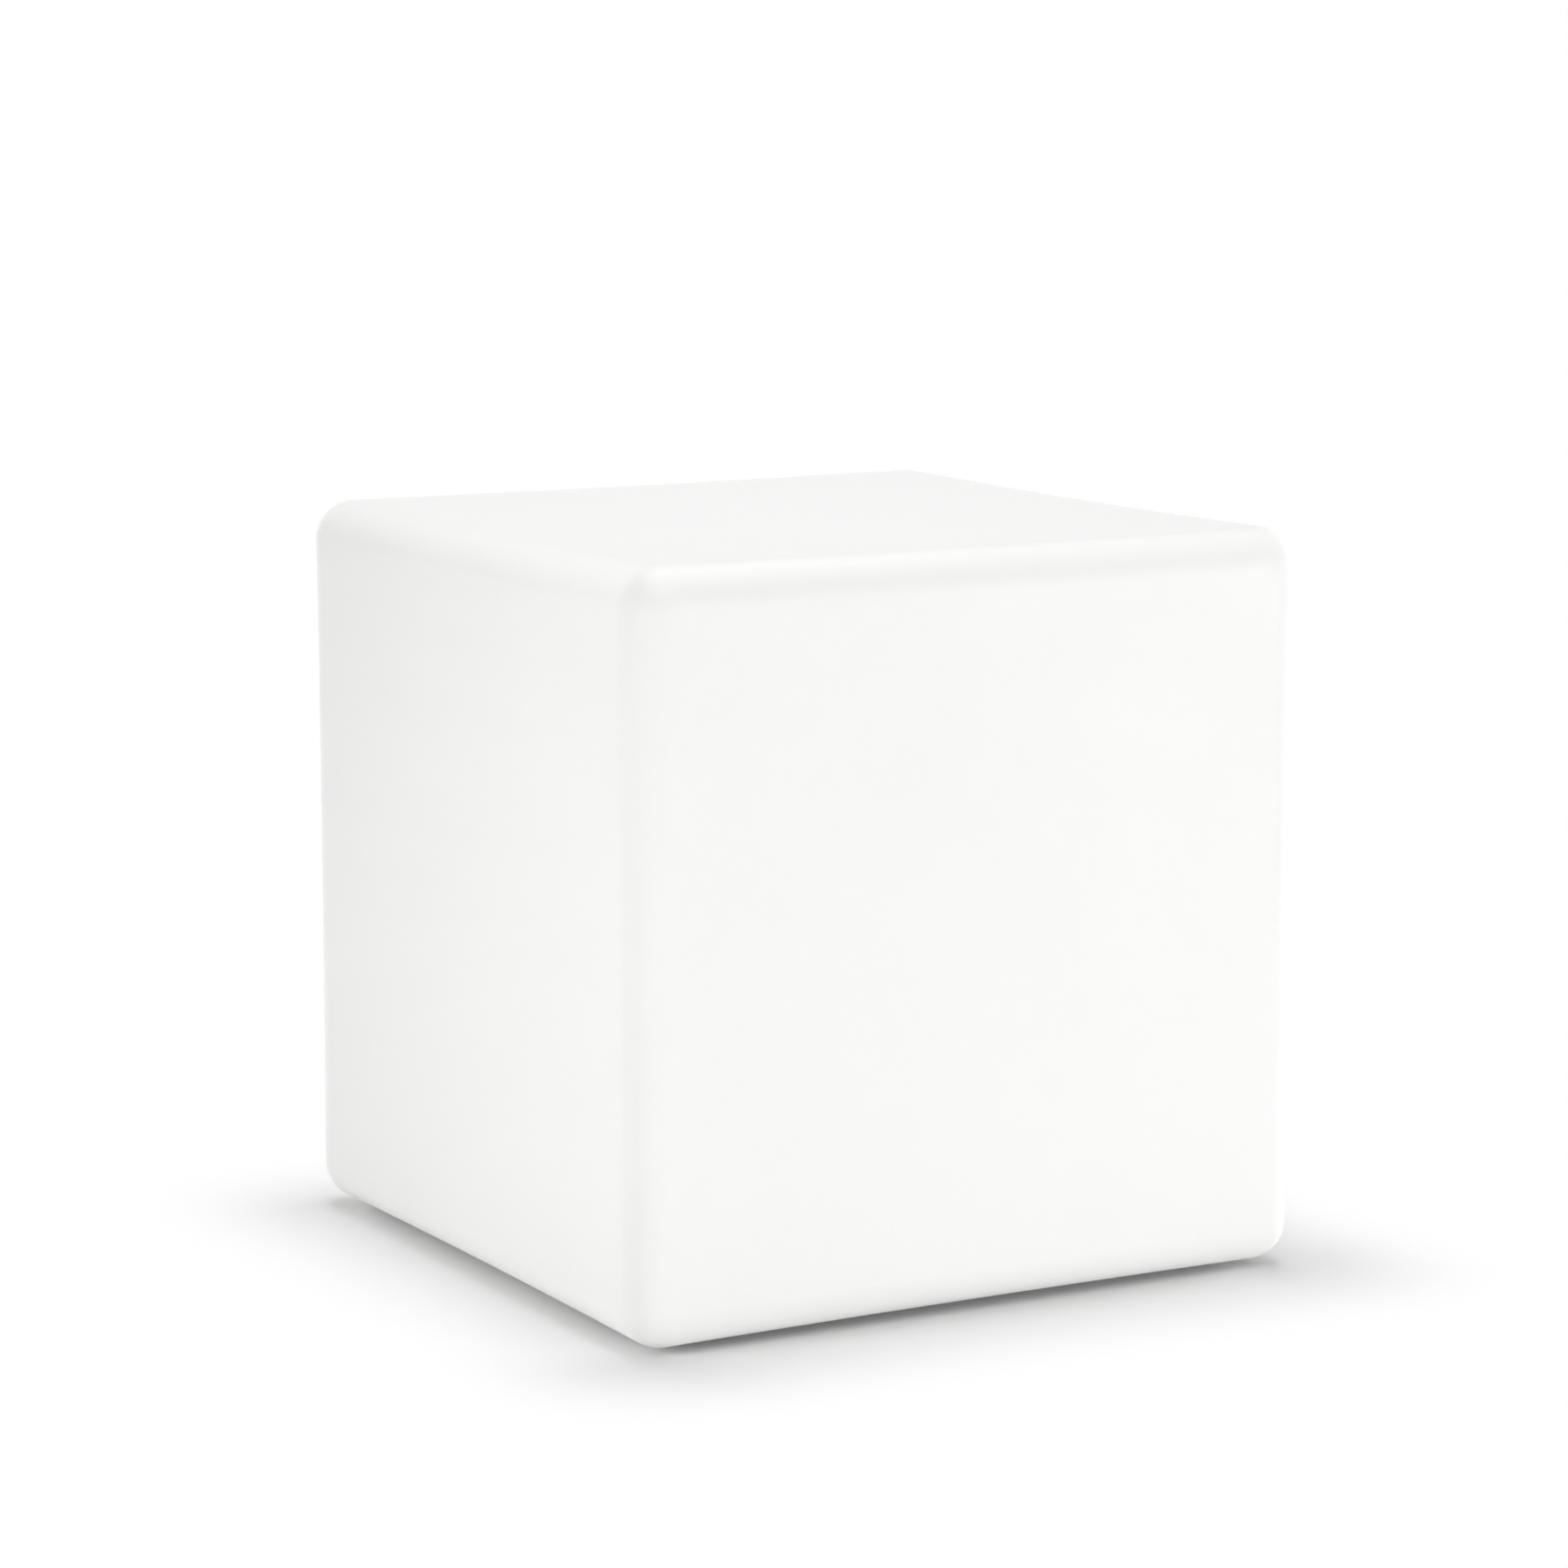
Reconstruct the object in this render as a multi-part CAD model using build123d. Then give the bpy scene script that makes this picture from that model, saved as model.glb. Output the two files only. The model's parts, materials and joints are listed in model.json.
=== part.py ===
from build123d import *
import math
import os

# Cube floor lamp for garden and terrace, without a cord.
# A hollow moulded cube with softly rounded edges and slightly sunk faces stands on four rubber feet.
# A round base unit is screwed into a well in its underside and holds a battery, a control board,
# two push buttons, a charging socket behind a hinged cover, and a ring of lights under a domed diffuser.
# Millimetres, +Z up. The origin is on the floor under the middle of the cube, and -Y is the front.

# Cube shell
cube_width = 400.0
cube_depth = 400.0
shell_height = 397.0
shell_wall = 4.5
edge_radius = 22.0
top_sink = 3.2
side_sink = 1.0
bottom_sink = 2.0

# Feet
foot_drop = 3.0
foot_inset = 50.0
foot_radius = 16.0
foot_thickness = 8.0
foot_edge_round = 1.5
foot_pocket_clearance = 0.4
foot_boss_wall = 5.0
foot_boss_roof = 4.0
foot_screw_sink = 4.2

# Well in the underside
well_radius = 92.0
well_depth = 20.0
well_lip_round = 3.0
pad_width = 8.0
pad_step = 0.4
well_corner_round = 2.0
neck_plate = 6.0
neck_radius = 66.0

# Threaded inserts moulded into the shell
insert_radius = 3.2
insert_length = 9.0
insert_boss_wall = 3.8
insert_roof = 3.0
insert_groove = 0.5

# Plug in the hole that the moulding leaves
vent_inset = 60.0
vent_hole_radius = 5.0
vent_head_radius = 8.5
vent_head_thickness = 1.6
vent_barb_radius = 5.8
vent_barb_tip_radius = 3.5
vent_barb_length = 2.4
vent_barb_gap = 0.1

# Base plate and its seal
base_gap = 3.0
base_thickness = 4.0
base_edge_round = 1.2
gasket_thickness = 2.0
gasket_margin = 1.0
gasket_width = 12.5
base_screw_inset = 10.0
base_screw_count = 6
base_screw_start = 30.0
screw_hole_clearance = 0.3
base_screw_recess = 2.0
rim_gap = 1.0
rim_wall = 3.0
rim_height = 10.0

# Screws, shank radius and head sizes
large_shank = 2.0
large_head_radius = 4.0
large_head_height = 2.6
small_shank = 1.5
small_head_radius = 2.8
small_head_height = 2.0
tiny_shank = 1.25
tiny_head_radius = 2.3
tiny_head_height = 1.6
thread_clearance = 0.05
head_clearance = 0.5
drive_share = 0.5
head_round_share = 0.5
tip_chamfer_share = 0.3
hole_overrun = 1.0
base_screw_length = 12.0
foot_screw_length = 10.0
housing_screw_length = 18.0
board_screw_length = 8.0
tray_screw_length = 9.0
clamp_screw_length = 7.0
led_screw_length = 7.0
dome_screw_length = 10.0

# Housing over the electronics
housing_gap = 0.4
housing_wall = 3.0
housing_height = 52.0
housing_boss_circle = 55.0
inner_screw_count = 4
inner_screw_start = 45.0
housing_boss_radius = 4.5
housing_boss_height = 24.0
housing_screw_recess = 2.2
seal_section = 1.0
deck_boss_height = 12.0
deck_boss_radius = 3.5

# Control board
board_length = 80.0
board_width = 56.0
board_thickness = 1.6
board_rise = 10.0
board_post_radius = 3.5
board_post_inset = 4.0
board_corner_round = 2.0
chip_size = 10.0
chip_height = 1.4
inductor_size = 9.0
inductor_height = 4.2
inductor_corner_round = 2.0
inductor_mark_radius = 3.0
inductor_mark_width = 0.5
inductor_mark_depth = 0.4
capacitor_radius = 3.0
capacitor_height = 6.0
capacitor_pitch = 8.0
capacitor_edge_round = 0.6
capacitor_count = 3

# Push buttons and their switches
button_spacing = 36.0
button_offset = 20.0
button_radius = 6.2
button_gap = 0.3
button_stand = 1.0
button_travel = 0.5
button_flange_radius = 8.0
button_flange_thickness = 1.0
button_pusher_radius = 3.0
button_pusher_length = 1.2
button_edge_round = 0.6
button_dot_radius = 0.9
button_dot_pitch = 3.6
button_dot_height = 0.3
guard_wall = 1.4
guard_height = 1.4
boot_gap = 0.6
boot_wall = 1.9
boot_web = 0.8
boot_pip_radius = 2.0
boot_pip_height = 1.2
switch_size = 6.0
switch_height = 3.5
stem_radius = 1.7
stem_gap = 0.2
stem_inside = 1.4

# Charging socket and its hinged cover
port_offset = 17.0
port_width = 30.0
port_length = 22.0
port_depth = 5.0
port_ceiling = 2.0
port_wall = 3.5
port_corner_round = 1.0
cover_gap = 0.3
cover_inset = 0.2
cover_thickness = 2.4
cover_finger_gap = 3.4
cover_corner_round = 1.5
hinge_pin_radius = 0.8
hinge_knuckle_radius = 1.7
hinge_running_gap = 0.08
hinge_back_gap = 0.5
hinge_pin_bite = 2.5
cover_seal_size = 13.0
cover_seal_round = 2.0
cover_seal_gap = 0.3
socket_barrel_radius = 4.5
socket_hole_gap = 0.2
socket_bore_radius = 3.0
socket_size = 12.0
socket_stand = 0.8
socket_back = 1.0
socket_pin_radius = 1.0
socket_pin_sink = 0.8
socket_pin_round = 0.6

# Charging light
light_pipe_radius = 1.6
light_pipe_collar = 2.4
light_pipe_collar_height = 1.0
light_chip_size = 3.0
light_chip_height = 1.1

# Battery
cell_radius = 9.2
cell_length = 65.0
cell_pitch = 19.0
cell_count = 3
cell_cap_radius = 3.6
cell_cap_height = 0.8
cell_rim = 1.6
cell_edge_round = 0.8
cell_seat_gap = 0.1
strip_thickness = 0.3
strip_width = 8.0
tray_floor = 2.0
tray_rise = 20.0
tray_side = 2.5
tray_hold = 7.0
tray_end_height = 13.0
tray_end_gap = 0.2
tray_post_radius = 4.0
tray_post_spread = 22.0
tray_ear_thickness = 3.0
tray_lug_width = 12.0
tray_notch_width = 4.0
clamp_width = 16.0
clamp_thickness = 2.4

# Leads inside the housing
battery_lead_radius = 0.9
battery_lead_bend = 2.8
battery_lead_reach = 8.0
battery_lead_drop = 4.9
battery_lead_side = 9.5
battery_lead_inset = 2.5
led_lead_radius = 2.0
led_lead_bend = 5.5
led_lead_reach = 10.0
led_lead_side = 14.0
led_header_length = 8.0
led_header_width = 10.0
led_header_height = 6.0
grommet_radius = 4.8
grommet_groove = 1.3
grommet_lip = 1.2

# Light source
spreader_radius = 40.0
spreader_thickness = 2.0
led_board_radius = 38.0
led_board_thickness = 1.6
led_screw_circle = 34.0
led_size = 5.0
led_height = 1.5
led_window_radius = 2.0
led_window_depth = 0.3
led_outer_circle = 27.0
led_outer_count = 10
led_outer_start = 18.0
led_inner_circle = 12.0
led_inner_count = 5
led_inner_start = 0.0

# Diffuser
dome_radius = 53.5
dome_wall = 2.0
dome_height = 40.0
dome_side_height = 24.0
dome_shoulder_round = 6.0
dome_flange_radius = 61.0
dome_flange_thickness = 2.5
dome_gasket_thickness = 1.5
dome_screw_circle = 57.4

# Levels above the floor, worked out from the sizes
shell_bottom = foot_drop
shell_top = shell_bottom + shell_height
pad_level = shell_bottom + bottom_sink + pad_step
well_ceiling = shell_bottom + well_depth
neck_top = well_ceiling + neck_plate
plate_top = well_ceiling - gasket_thickness
plate_bottom = plate_top - base_thickness
plate_radius = well_radius - base_gap
base_screw_circle = plate_radius - base_screw_inset
gasket_outer = plate_radius - gasket_margin
vent_distance = cube_depth / 2 - vent_inset
base_screw_seat = plate_bottom + base_screw_recess
housing_screw_seat = plate_bottom + housing_screw_recess
rim_outer = neck_radius - rim_gap
rim_inner = rim_outer - rim_wall
housing_outer = rim_inner - housing_gap
housing_inner = housing_outer - housing_wall
deck_top = plate_top + housing_height
deck_bottom = deck_top - housing_wall
board_bottom = plate_top + board_rise
board_top = board_bottom + board_thickness
tray_bottom = plate_top + tray_rise
cell_centre = tray_bottom + tray_floor + cell_seat_gap + cell_radius
tray_top = tray_bottom + tray_floor + tray_hold
cell_end = cell_length / 2
strip_outer = cell_end + strip_thickness
tray_end_inner = strip_outer + tray_end_gap
tray_half_length = tray_end_inner + tray_side
tray_half_width = cell_pitch + cell_radius + cell_seat_gap + tray_side
tray_post_y = tray_half_width + tray_post_radius
port_roof = plate_bottom + port_depth
port_block_top = max(port_roof + port_ceiling, plate_top)
port_front = port_offset - port_length / 2
port_back = port_offset + port_length / 2
hinge_y = port_back - hinge_back_gap - hinge_knuckle_radius
cover_bottom = plate_bottom + cover_inset
cover_top = cover_bottom + cover_thickness
hinge_z = cover_bottom + hinge_knuckle_radius
socket_face = port_roof - socket_stand
cover_seal_top = socket_face - cover_seal_gap
socket_y = (port_front + cover_finger_gap + hinge_y) / 2
flange_underside = plate_top + button_gap
pusher_top = flange_underside + button_flange_thickness + button_pusher_length
web_top = pusher_top + boot_web
pip_top = web_top + boot_pip_height
switch_bottom = board_bottom - switch_height
stem_top = switch_bottom + stem_inside
led_lead_x = -(tray_half_length + led_lead_reach - led_lead_radius)
spreader_top = deck_top + spreader_thickness
led_board_top = spreader_top + led_board_thickness
dome_flange_bottom = deck_top + dome_gasket_thickness
dome_flange_top = dome_flange_bottom + dome_flange_thickness
lead_turn = led_board_top + led_header_height / 2

LOW = (Align.CENTER, Align.CENTER, Align.MIN)


def disc(radius, low, high, x=0.0, y=0.0):
    """Upright cylinder between two levels."""
    return Pos(x, y, low) * Cylinder(radius, high - low, align=LOW)


def ring(inner, outer, low, high, x=0.0, y=0.0):
    """Upright tube between two levels."""
    return disc(outer, low, high, x, y) - disc(inner, low, high, x, y)


def block(length, width, low, high, x=0.0, y=0.0):
    """Upright box between two levels, centred on a point."""
    return Pos(x, y, low) * Box(length, width, high - low, align=LOW)


def round_block(length, width, low, high, radius, x=0.0, y=0.0):
    """Upright box with rounded vertical edges."""
    shape = block(length, width, low, high, x, y)
    return fillet(shape.edges().filter_by(Axis.Z), radius)


def circle_places(radius, count, start):
    """Points evenly spaced on a circle about the lamp's axis, from a first angle in degrees."""
    angles = [math.radians(start + 360.0 * k / count) for k in range(count)]
    return [(radius * math.cos(a), radius * math.sin(a)) for a in angles]


def lowest_edges(shape):
    """Edges of a shape's lowest face."""
    return shape.faces().sort_by(Axis.Z)[0].edges()


def highest_edges(shape):
    """Edges of a shape's highest face."""
    return shape.faces().sort_by(Axis.Z)[-1].edges()


def joined(shapes):
    """Separate solids kept together as one group."""
    return Compound(children=list(shapes))


def screw(shank_radius, length, head_radius, head_height):
    """Pan head screw that points up, with the underside of its head at level 0."""
    head = disc(head_radius, -head_height, 0)
    head = fillet(lowest_edges(head), head_height * head_round_share)
    shank = disc(shank_radius, 0, length)
    tip = chamfer(highest_edges(shank), shank_radius * tip_chamfer_share)
    drive = extrude(RegularPolygon(head_radius * drive_share, 6), head_height * drive_share)
    return head + tip - Pos(0, 0, -head_height) * drive


def large_screw(length):
    return screw(large_shank, length, large_head_radius, large_head_height)


def small_screw(length):
    return screw(small_shank, length, small_head_radius, small_head_height)


def tiny_screw(length):
    return screw(tiny_shank, length, tiny_head_radius, tiny_head_height)


def screws_up(one, places, level):
    """Copies of a screw driven in from below, with their heads under a level."""
    return joined([Pos(x, y, level) * one for x, y in places])


def screws_down(one, places, level):
    """Copies of a screw driven in from above, with their heads on a level."""
    return joined([Pos(x, y, level) * Rot(180, 0, 0) * one for x, y in places])


# Cube shell


def face_sink(half_diagonal, sink):
    """Large ball that bites a shallow hollow into a face that lies at X = 0 and looks along +X."""
    radius = (half_diagonal**2 + sink**2) / (2 * sink)
    return Pos(radius - sink, 0, 0) * Sphere(radius)


def sunk_block(length, width, low, high, radius):
    """Block whose six faces sink a little towards their middles, with all its edges rounded."""
    height = high - low
    middle = (low + high) / 2
    side_x = face_sink(math.hypot(width, height) / 2, side_sink)
    side_y = face_sink(math.hypot(length, height) / 2, side_sink)
    top = face_sink(math.hypot(length, width) / 2, top_sink)
    bottom = face_sink(math.hypot(length, width) / 2, bottom_sink)
    shape = block(length, width, low, high)
    shape -= Pos(length / 2, 0, middle) * side_x
    shape -= Pos(-length / 2, 0, middle) * Rot(0, 0, 180) * side_x
    shape -= Pos(0, width / 2, middle) * Rot(0, 0, 90) * side_y
    shape -= Pos(0, -width / 2, middle) * Rot(0, 0, -90) * side_y
    shape -= Pos(0, 0, high) * Rot(0, -90, 0) * top
    shape -= Pos(0, 0, low) * Rot(0, 90, 0) * bottom
    return fillet(shape.edges(), radius)


def underside_level(distance):
    """Height of the shell's sunk underside at a distance from its middle."""
    half_diagonal = math.hypot(cube_width, cube_depth) / 2
    return shell_bottom + bottom_sink * (1 - (distance / half_diagonal) ** 2)


def foot_places():
    x = cube_width / 2 - foot_inset
    y = cube_depth / 2 - foot_inset
    return {
        "front_left": (-x, -y),
        "front_right": (x, -y),
        "rear_left": (-x, y),
        "rear_right": (x, y),
    }


def base_screw_places():
    return circle_places(base_screw_circle, base_screw_count, base_screw_start)


def insert_socket(x, y, low):
    """Space in the shell for a threaded insert, with its grip groove."""
    body = disc(insert_radius, low, low + insert_length, x, y)
    groove_bottom = low + insert_length / 2 - insert_groove
    groove_top = low + insert_length / 2 + insert_groove
    return body - ring(insert_radius - insert_groove, insert_radius, groove_bottom, groove_top, x, y)


def outer_block():
    """Outside of the shell, with a flat ring in its underside and the round well inside the ring."""
    recess = disc(well_radius, 0, well_ceiling)
    recess = fillet(highest_edges(recess), well_corner_round)
    solid = sunk_block(cube_width, cube_depth, shell_bottom, shell_top, edge_radius)
    solid -= disc(well_radius + pad_width, 0, pad_level)
    solid -= recess
    circles = solid.edges().filter_by(GeomType.CIRCLE)
    mouth = circles.filter_by(lambda edge: math.isclose(edge.radius, well_radius)).sort_by(Axis.Z)[0]
    return fillet(mouth, well_lip_round)


def make_shell():
    """One moulded piece of even wall: cube, well, neck and bosses."""
    cavity = sunk_block(
        cube_width - 2 * shell_wall,
        cube_depth - 2 * shell_wall,
        shell_bottom + shell_wall,
        shell_top - shell_wall,
        edge_radius - shell_wall,
    )
    cavity -= disc(well_radius + shell_wall, shell_bottom, neck_top)
    boss_radius = insert_radius + insert_boss_wall
    boss_top = well_ceiling + insert_length + insert_roof
    for x, y in base_screw_places():
        cavity -= disc(boss_radius, shell_bottom, boss_top, x, y)
    foot_boss_radius = foot_radius + foot_pocket_clearance + foot_boss_wall
    for x, y in foot_places().values():
        cavity -= disc(foot_boss_radius, shell_bottom, foot_thickness + foot_boss_roof, x, y)
        cavity -= disc(boss_radius, shell_bottom, foot_thickness + insert_length + insert_roof, x, y)
    shell = outer_block() - cavity
    shell -= disc(neck_radius, well_ceiling - hole_overrun, neck_top + hole_overrun)
    for x, y in base_screw_places():
        shell -= insert_socket(x, y, well_ceiling)
    for x, y in foot_places().values():
        shell -= disc(foot_radius + foot_pocket_clearance, 0, foot_thickness, x, y)
        shell -= insert_socket(x, y, foot_thickness)
    vent_top = shell_bottom + shell_wall + bottom_sink + hole_overrun
    shell -= disc(vent_hole_radius, 0, vent_top, 0, vent_distance)
    shell -= disc(vent_head_radius + foot_pocket_clearance, 0, vent_seat(), 0, vent_distance)
    return shell


def vent_seat():
    """Level that the vent plug's head bears on."""
    return underside_level(vent_distance) + vent_head_thickness


def insert(x, y, low):
    """Brass insert with a grip groove and a plain bore in place of its thread."""
    return insert_socket(x, y, low) - disc(large_shank + thread_clearance, low, low + insert_length, x, y)


def make_neck_inserts():
    return joined([insert(x, y, well_ceiling) for x, y in base_screw_places()])


def make_foot_inserts():
    return joined([insert(x, y, foot_thickness) for x, y in foot_places().values()])


def make_foot(x, y):
    """Round rubber foot with a deep hole that hides its screw."""
    body = disc(foot_radius, 0, foot_thickness, x, y)
    body = fillet(lowest_edges(body), foot_edge_round)
    body -= disc(large_shank + screw_hole_clearance, 0, foot_thickness, x, y)
    return body - disc(large_head_radius + head_clearance, 0, foot_screw_sink, x, y)


def make_foot_screws():
    return screws_up(large_screw(foot_screw_length), foot_places().values(), foot_screw_sink)


def make_vent_plug():
    """Soft stopper with a flat head outside and a barb inside the wall."""
    head_bottom = vent_seat() - vent_head_thickness
    wall_top = underside_level(vent_distance) + shell_wall
    barb_bottom = wall_top + vent_barb_gap
    barb = Cone(vent_barb_radius, vent_barb_tip_radius, vent_barb_length, align=LOW)
    barb = Pos(0, vent_distance, barb_bottom) * barb
    stem = disc(vent_hole_radius, vent_seat(), barb_bottom, 0, vent_distance)
    return disc(vent_head_radius, head_bottom, vent_seat(), 0, vent_distance) + stem + barb


# Base plate


def housing_screw_places():
    return circle_places(housing_boss_circle, inner_screw_count, inner_screw_start)


def board_post_places():
    x = board_length / 2 - board_post_inset
    y = board_width / 2 - board_post_inset
    return [(x, y), (-x, y), (-x, -y), (x, -y)]


def tray_post_places():
    return [(sx * tray_post_spread, sy * tray_post_y) for sx, sy in ((1, 1), (-1, 1), (-1, -1), (1, -1))]


def button_places():
    return {"power": (-button_spacing / 2, -button_offset), "mode": (button_spacing / 2, -button_offset)}


def make_base_gasket():
    seal = ring(gasket_outer - gasket_width, gasket_outer, plate_top, well_ceiling)
    for x, y in base_screw_places():
        seal -= disc(large_shank + screw_hole_clearance, plate_top, well_ceiling, x, y)
    return seal


def seal_circle():
    """Radius of the groove for the housing seal, under the middle of the housing's wall."""
    return (housing_inner + housing_outer) / 2


def hinge_bar(radius, length):
    """Round bar along the cover's hinge axis."""
    return Pos(0, hinge_y, hinge_z) * Rot(0, 90, 0) * Cylinder(radius, length)


def make_base_plate():
    """Flanged plate that closes the well, with all that is moulded on it."""
    plate = disc(plate_radius, plate_bottom, plate_top)
    plate = fillet(lowest_edges(plate), base_edge_round)
    plate += ring(rim_inner, rim_outer, plate_top, plate_top + rim_height)
    for x, y in board_post_places():
        plate += disc(board_post_radius, plate_top, board_bottom, x, y)
    for x, y in tray_post_places():
        plate += disc(tray_post_radius, plate_top, tray_bottom, x, y)
    plate += block(
        port_width + 2 * port_wall, port_length + 2 * port_wall, plate_bottom, port_block_top, 0, port_offset
    )
    guard_inner = button_radius + button_gap
    for x, y in button_places().values():
        plate += ring(guard_inner, guard_inner + guard_wall, plate_bottom - guard_height, plate_bottom, x, y)
    plate -= round_block(
        port_width, port_length, plate_bottom - hole_overrun, port_roof, port_corner_round, 0, port_offset
    )
    barrel_hole_radius = socket_barrel_radius + socket_hole_gap
    plate -= disc(barrel_hole_radius, port_roof - hole_overrun, port_block_top, 0, socket_y)
    plate -= hinge_bar(hinge_pin_radius, port_width + 2 * hinge_pin_bite)
    for x, y in button_places().values():
        plate -= disc(guard_inner, plate_bottom - guard_height, plate_top, x, y)
    for x, y in base_screw_places():
        plate -= disc(large_shank + screw_hole_clearance, plate_bottom, plate_top, x, y)
        plate -= disc(large_head_radius + head_clearance, plate_bottom, base_screw_seat, x, y)
    for x, y in housing_screw_places():
        plate -= disc(small_shank + screw_hole_clearance, plate_bottom, plate_top, x, y)
        plate -= disc(small_head_radius + head_clearance, plate_bottom, housing_screw_seat, x, y)
    for x, y in board_post_places():
        hole_bottom = board_top - board_screw_length - hole_overrun
        plate -= disc(tiny_shank + thread_clearance, hole_bottom, board_bottom, x, y)
    for x, y in tray_post_places():
        hole_bottom = tray_bottom + tray_ear_thickness - tray_screw_length - hole_overrun
        plate -= disc(small_shank + thread_clearance, hole_bottom, tray_bottom, x, y)
    plate -= disc(light_pipe_radius, plate_bottom, plate_top, 0, -button_offset)
    groove = Pos(0, 0, plate_top) * Torus(seal_circle(), seal_section)
    return plate - groove


def make_base_screws():
    return screws_up(large_screw(base_screw_length), base_screw_places(), base_screw_seat)


# Housing


def make_housing_seal():
    """Cord ring squeezed into the groove of the base plate."""
    cord = Pos(0, 0, plate_top) * Torus(seal_circle(), seal_section)
    return cord & disc(housing_outer + seal_section, plate_top - 2 * seal_section, plate_top)


def led_lead_place():
    return (led_lead_x, led_lead_side)


def make_housing():
    """Round can over the electronics, whose flat deck carries the lights."""
    can = disc(housing_outer, plate_top, deck_top) - disc(housing_inner, plate_top, deck_bottom)
    for x, y in housing_screw_places():
        can += disc(housing_boss_radius, plate_top, plate_top + housing_boss_height, x, y)
    for x, y in dome_screw_places():
        post = disc(deck_boss_radius, deck_bottom - deck_boss_height, deck_bottom, x, y)
        can += post & disc(housing_outer, plate_top, deck_top)
    for x, y in housing_screw_places():
        can -= disc(small_shank + thread_clearance, plate_top, plate_top + housing_screw_length, x, y)
    for x, y in dome_screw_places():
        hole_bottom = dome_flange_top - dome_screw_length - hole_overrun
        can -= disc(small_shank + thread_clearance, hole_bottom, deck_top, x, y)
    for x, y in led_screw_places():
        can -= disc(small_shank + thread_clearance, deck_bottom, deck_top, x, y)
    x, y = led_lead_place()
    return can - disc(grommet_radius - grommet_groove, deck_bottom, deck_top, x, y)


def make_housing_screws():
    return screws_up(small_screw(housing_screw_length), housing_screw_places(), housing_screw_seat)


# Control board


def make_control_board():
    board = round_block(board_length, board_width, board_bottom, board_top, board_corner_round)
    for x, y in board_post_places():
        board -= disc(tiny_shank + thread_clearance, board_bottom, board_top, x, y)
    return board


def make_control_board_screws():
    return screws_down(tiny_screw(board_screw_length), board_post_places(), board_top)


def make_controller_chip():
    return block(chip_size, chip_size, board_top, board_top + chip_height)


def make_charge_inductor():
    """Square block with rounded corners and a shallow ring in its top."""
    top = board_top + inductor_height
    body = round_block(
        inductor_size, inductor_size, board_top, top, inductor_corner_round, 0, port_offset
    )
    mark_inner = inductor_mark_radius - inductor_mark_width
    return body - ring(mark_inner, inductor_mark_radius, top - inductor_mark_depth, top, 0, port_offset)


def make_capacitors():
    cans = []
    for k in range(capacitor_count):
        x = (k - (capacitor_count - 1) / 2) * capacitor_pitch
        can = disc(capacitor_radius, board_top, board_top + capacitor_height, x, -button_offset)
        cans.append(fillet(highest_edges(can), capacitor_edge_round))
    return joined(cans)


# Buttons and switches


def make_button(x, y, dots):
    """Flanged plunger that stands proud of the plate inside its guard ring, with raised dots to feel."""
    face = plate_bottom - button_stand
    cap = disc(button_radius, face, flange_underside, x, y)
    cap = fillet(lowest_edges(cap), button_edge_round)
    cap += disc(button_flange_radius, flange_underside, flange_underside + button_flange_thickness, x, y)
    cap += disc(button_pusher_radius, flange_underside, pusher_top, x, y)
    for k in range(dots):
        shift = (k - (dots - 1) / 2) * button_dot_pitch
        cap += disc(button_dot_radius, face - button_dot_height, face, x + shift, y)
    return cap


def make_button_boot(x, y):
    """Soft cap sealed to the plate over a button, with a pip that presses the switch."""
    inner = button_flange_radius + boot_gap
    wall = ring(inner, inner + boot_wall, plate_top, pusher_top, x, y)
    web = disc(inner + boot_wall, pusher_top, web_top, x, y)
    return wall + web + disc(boot_pip_radius, web_top, pip_top, x, y)


def make_switch(x, y):
    """Square switch body under the control board, open below for its stem."""
    body = block(switch_size, switch_size, switch_bottom, board_bottom, x, y)
    depth = stem_inside + button_travel + stem_gap
    return body - disc(stem_radius + stem_gap, switch_bottom, switch_bottom + depth, x, y)


def make_switch_stem(x, y):
    return disc(stem_radius, pip_top, stem_top, x, y)


# Charging port


def make_charge_socket():
    """Round socket mouth on a square body that hangs from the control board."""
    body = block(socket_size, socket_size, port_block_top, board_bottom, 0, socket_y)
    barrel = disc(socket_barrel_radius, socket_face, board_bottom, 0, socket_y)
    return body + barrel - disc(socket_bore_radius, socket_face, board_bottom - socket_back, 0, socket_y)


def make_charge_socket_pin():
    pin = disc(socket_pin_radius, socket_face + socket_pin_sink, board_bottom - socket_back, 0, socket_y)
    return fillet(lowest_edges(pin), socket_pin_round)


def make_port_cover():
    """Flat door whose rolled end turns on the hinge pin."""
    width = port_width - 2 * cover_gap
    front = port_front + cover_finger_gap
    leaf = block(width, hinge_y - front, cover_bottom, cover_top, 0, (front + hinge_y) / 2)
    front_edges = leaf.edges().filter_by(Axis.Z).group_by(Axis.Y)[0]
    leaf = fillet(front_edges, cover_corner_round)
    bore = hinge_bar(hinge_pin_radius + hinge_running_gap, width)
    return leaf + hinge_bar(hinge_knuckle_radius, width) - bore


def make_port_cover_seal():
    return round_block(
        cover_seal_size, cover_seal_size, cover_top, cover_seal_top, cover_seal_round, 0, socket_y
    )


def make_port_cover_pin():
    return hinge_bar(hinge_pin_radius, port_width + 2 * hinge_pin_bite)


# Charging light


def make_charge_light_pipe():
    pipe = disc(light_pipe_radius, plate_bottom, board_bottom - light_chip_height, 0, -button_offset)
    collar_top = plate_top + light_pipe_collar_height
    return pipe + disc(light_pipe_collar, plate_top, collar_top, 0, -button_offset)


def make_charge_light():
    return block(
        light_chip_size, light_chip_size, board_bottom - light_chip_height, board_bottom, 0, -button_offset
    )


# Battery


def cell_rows():
    return [(k - (cell_count - 1) / 2) * cell_pitch for k in range(cell_count)]


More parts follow.
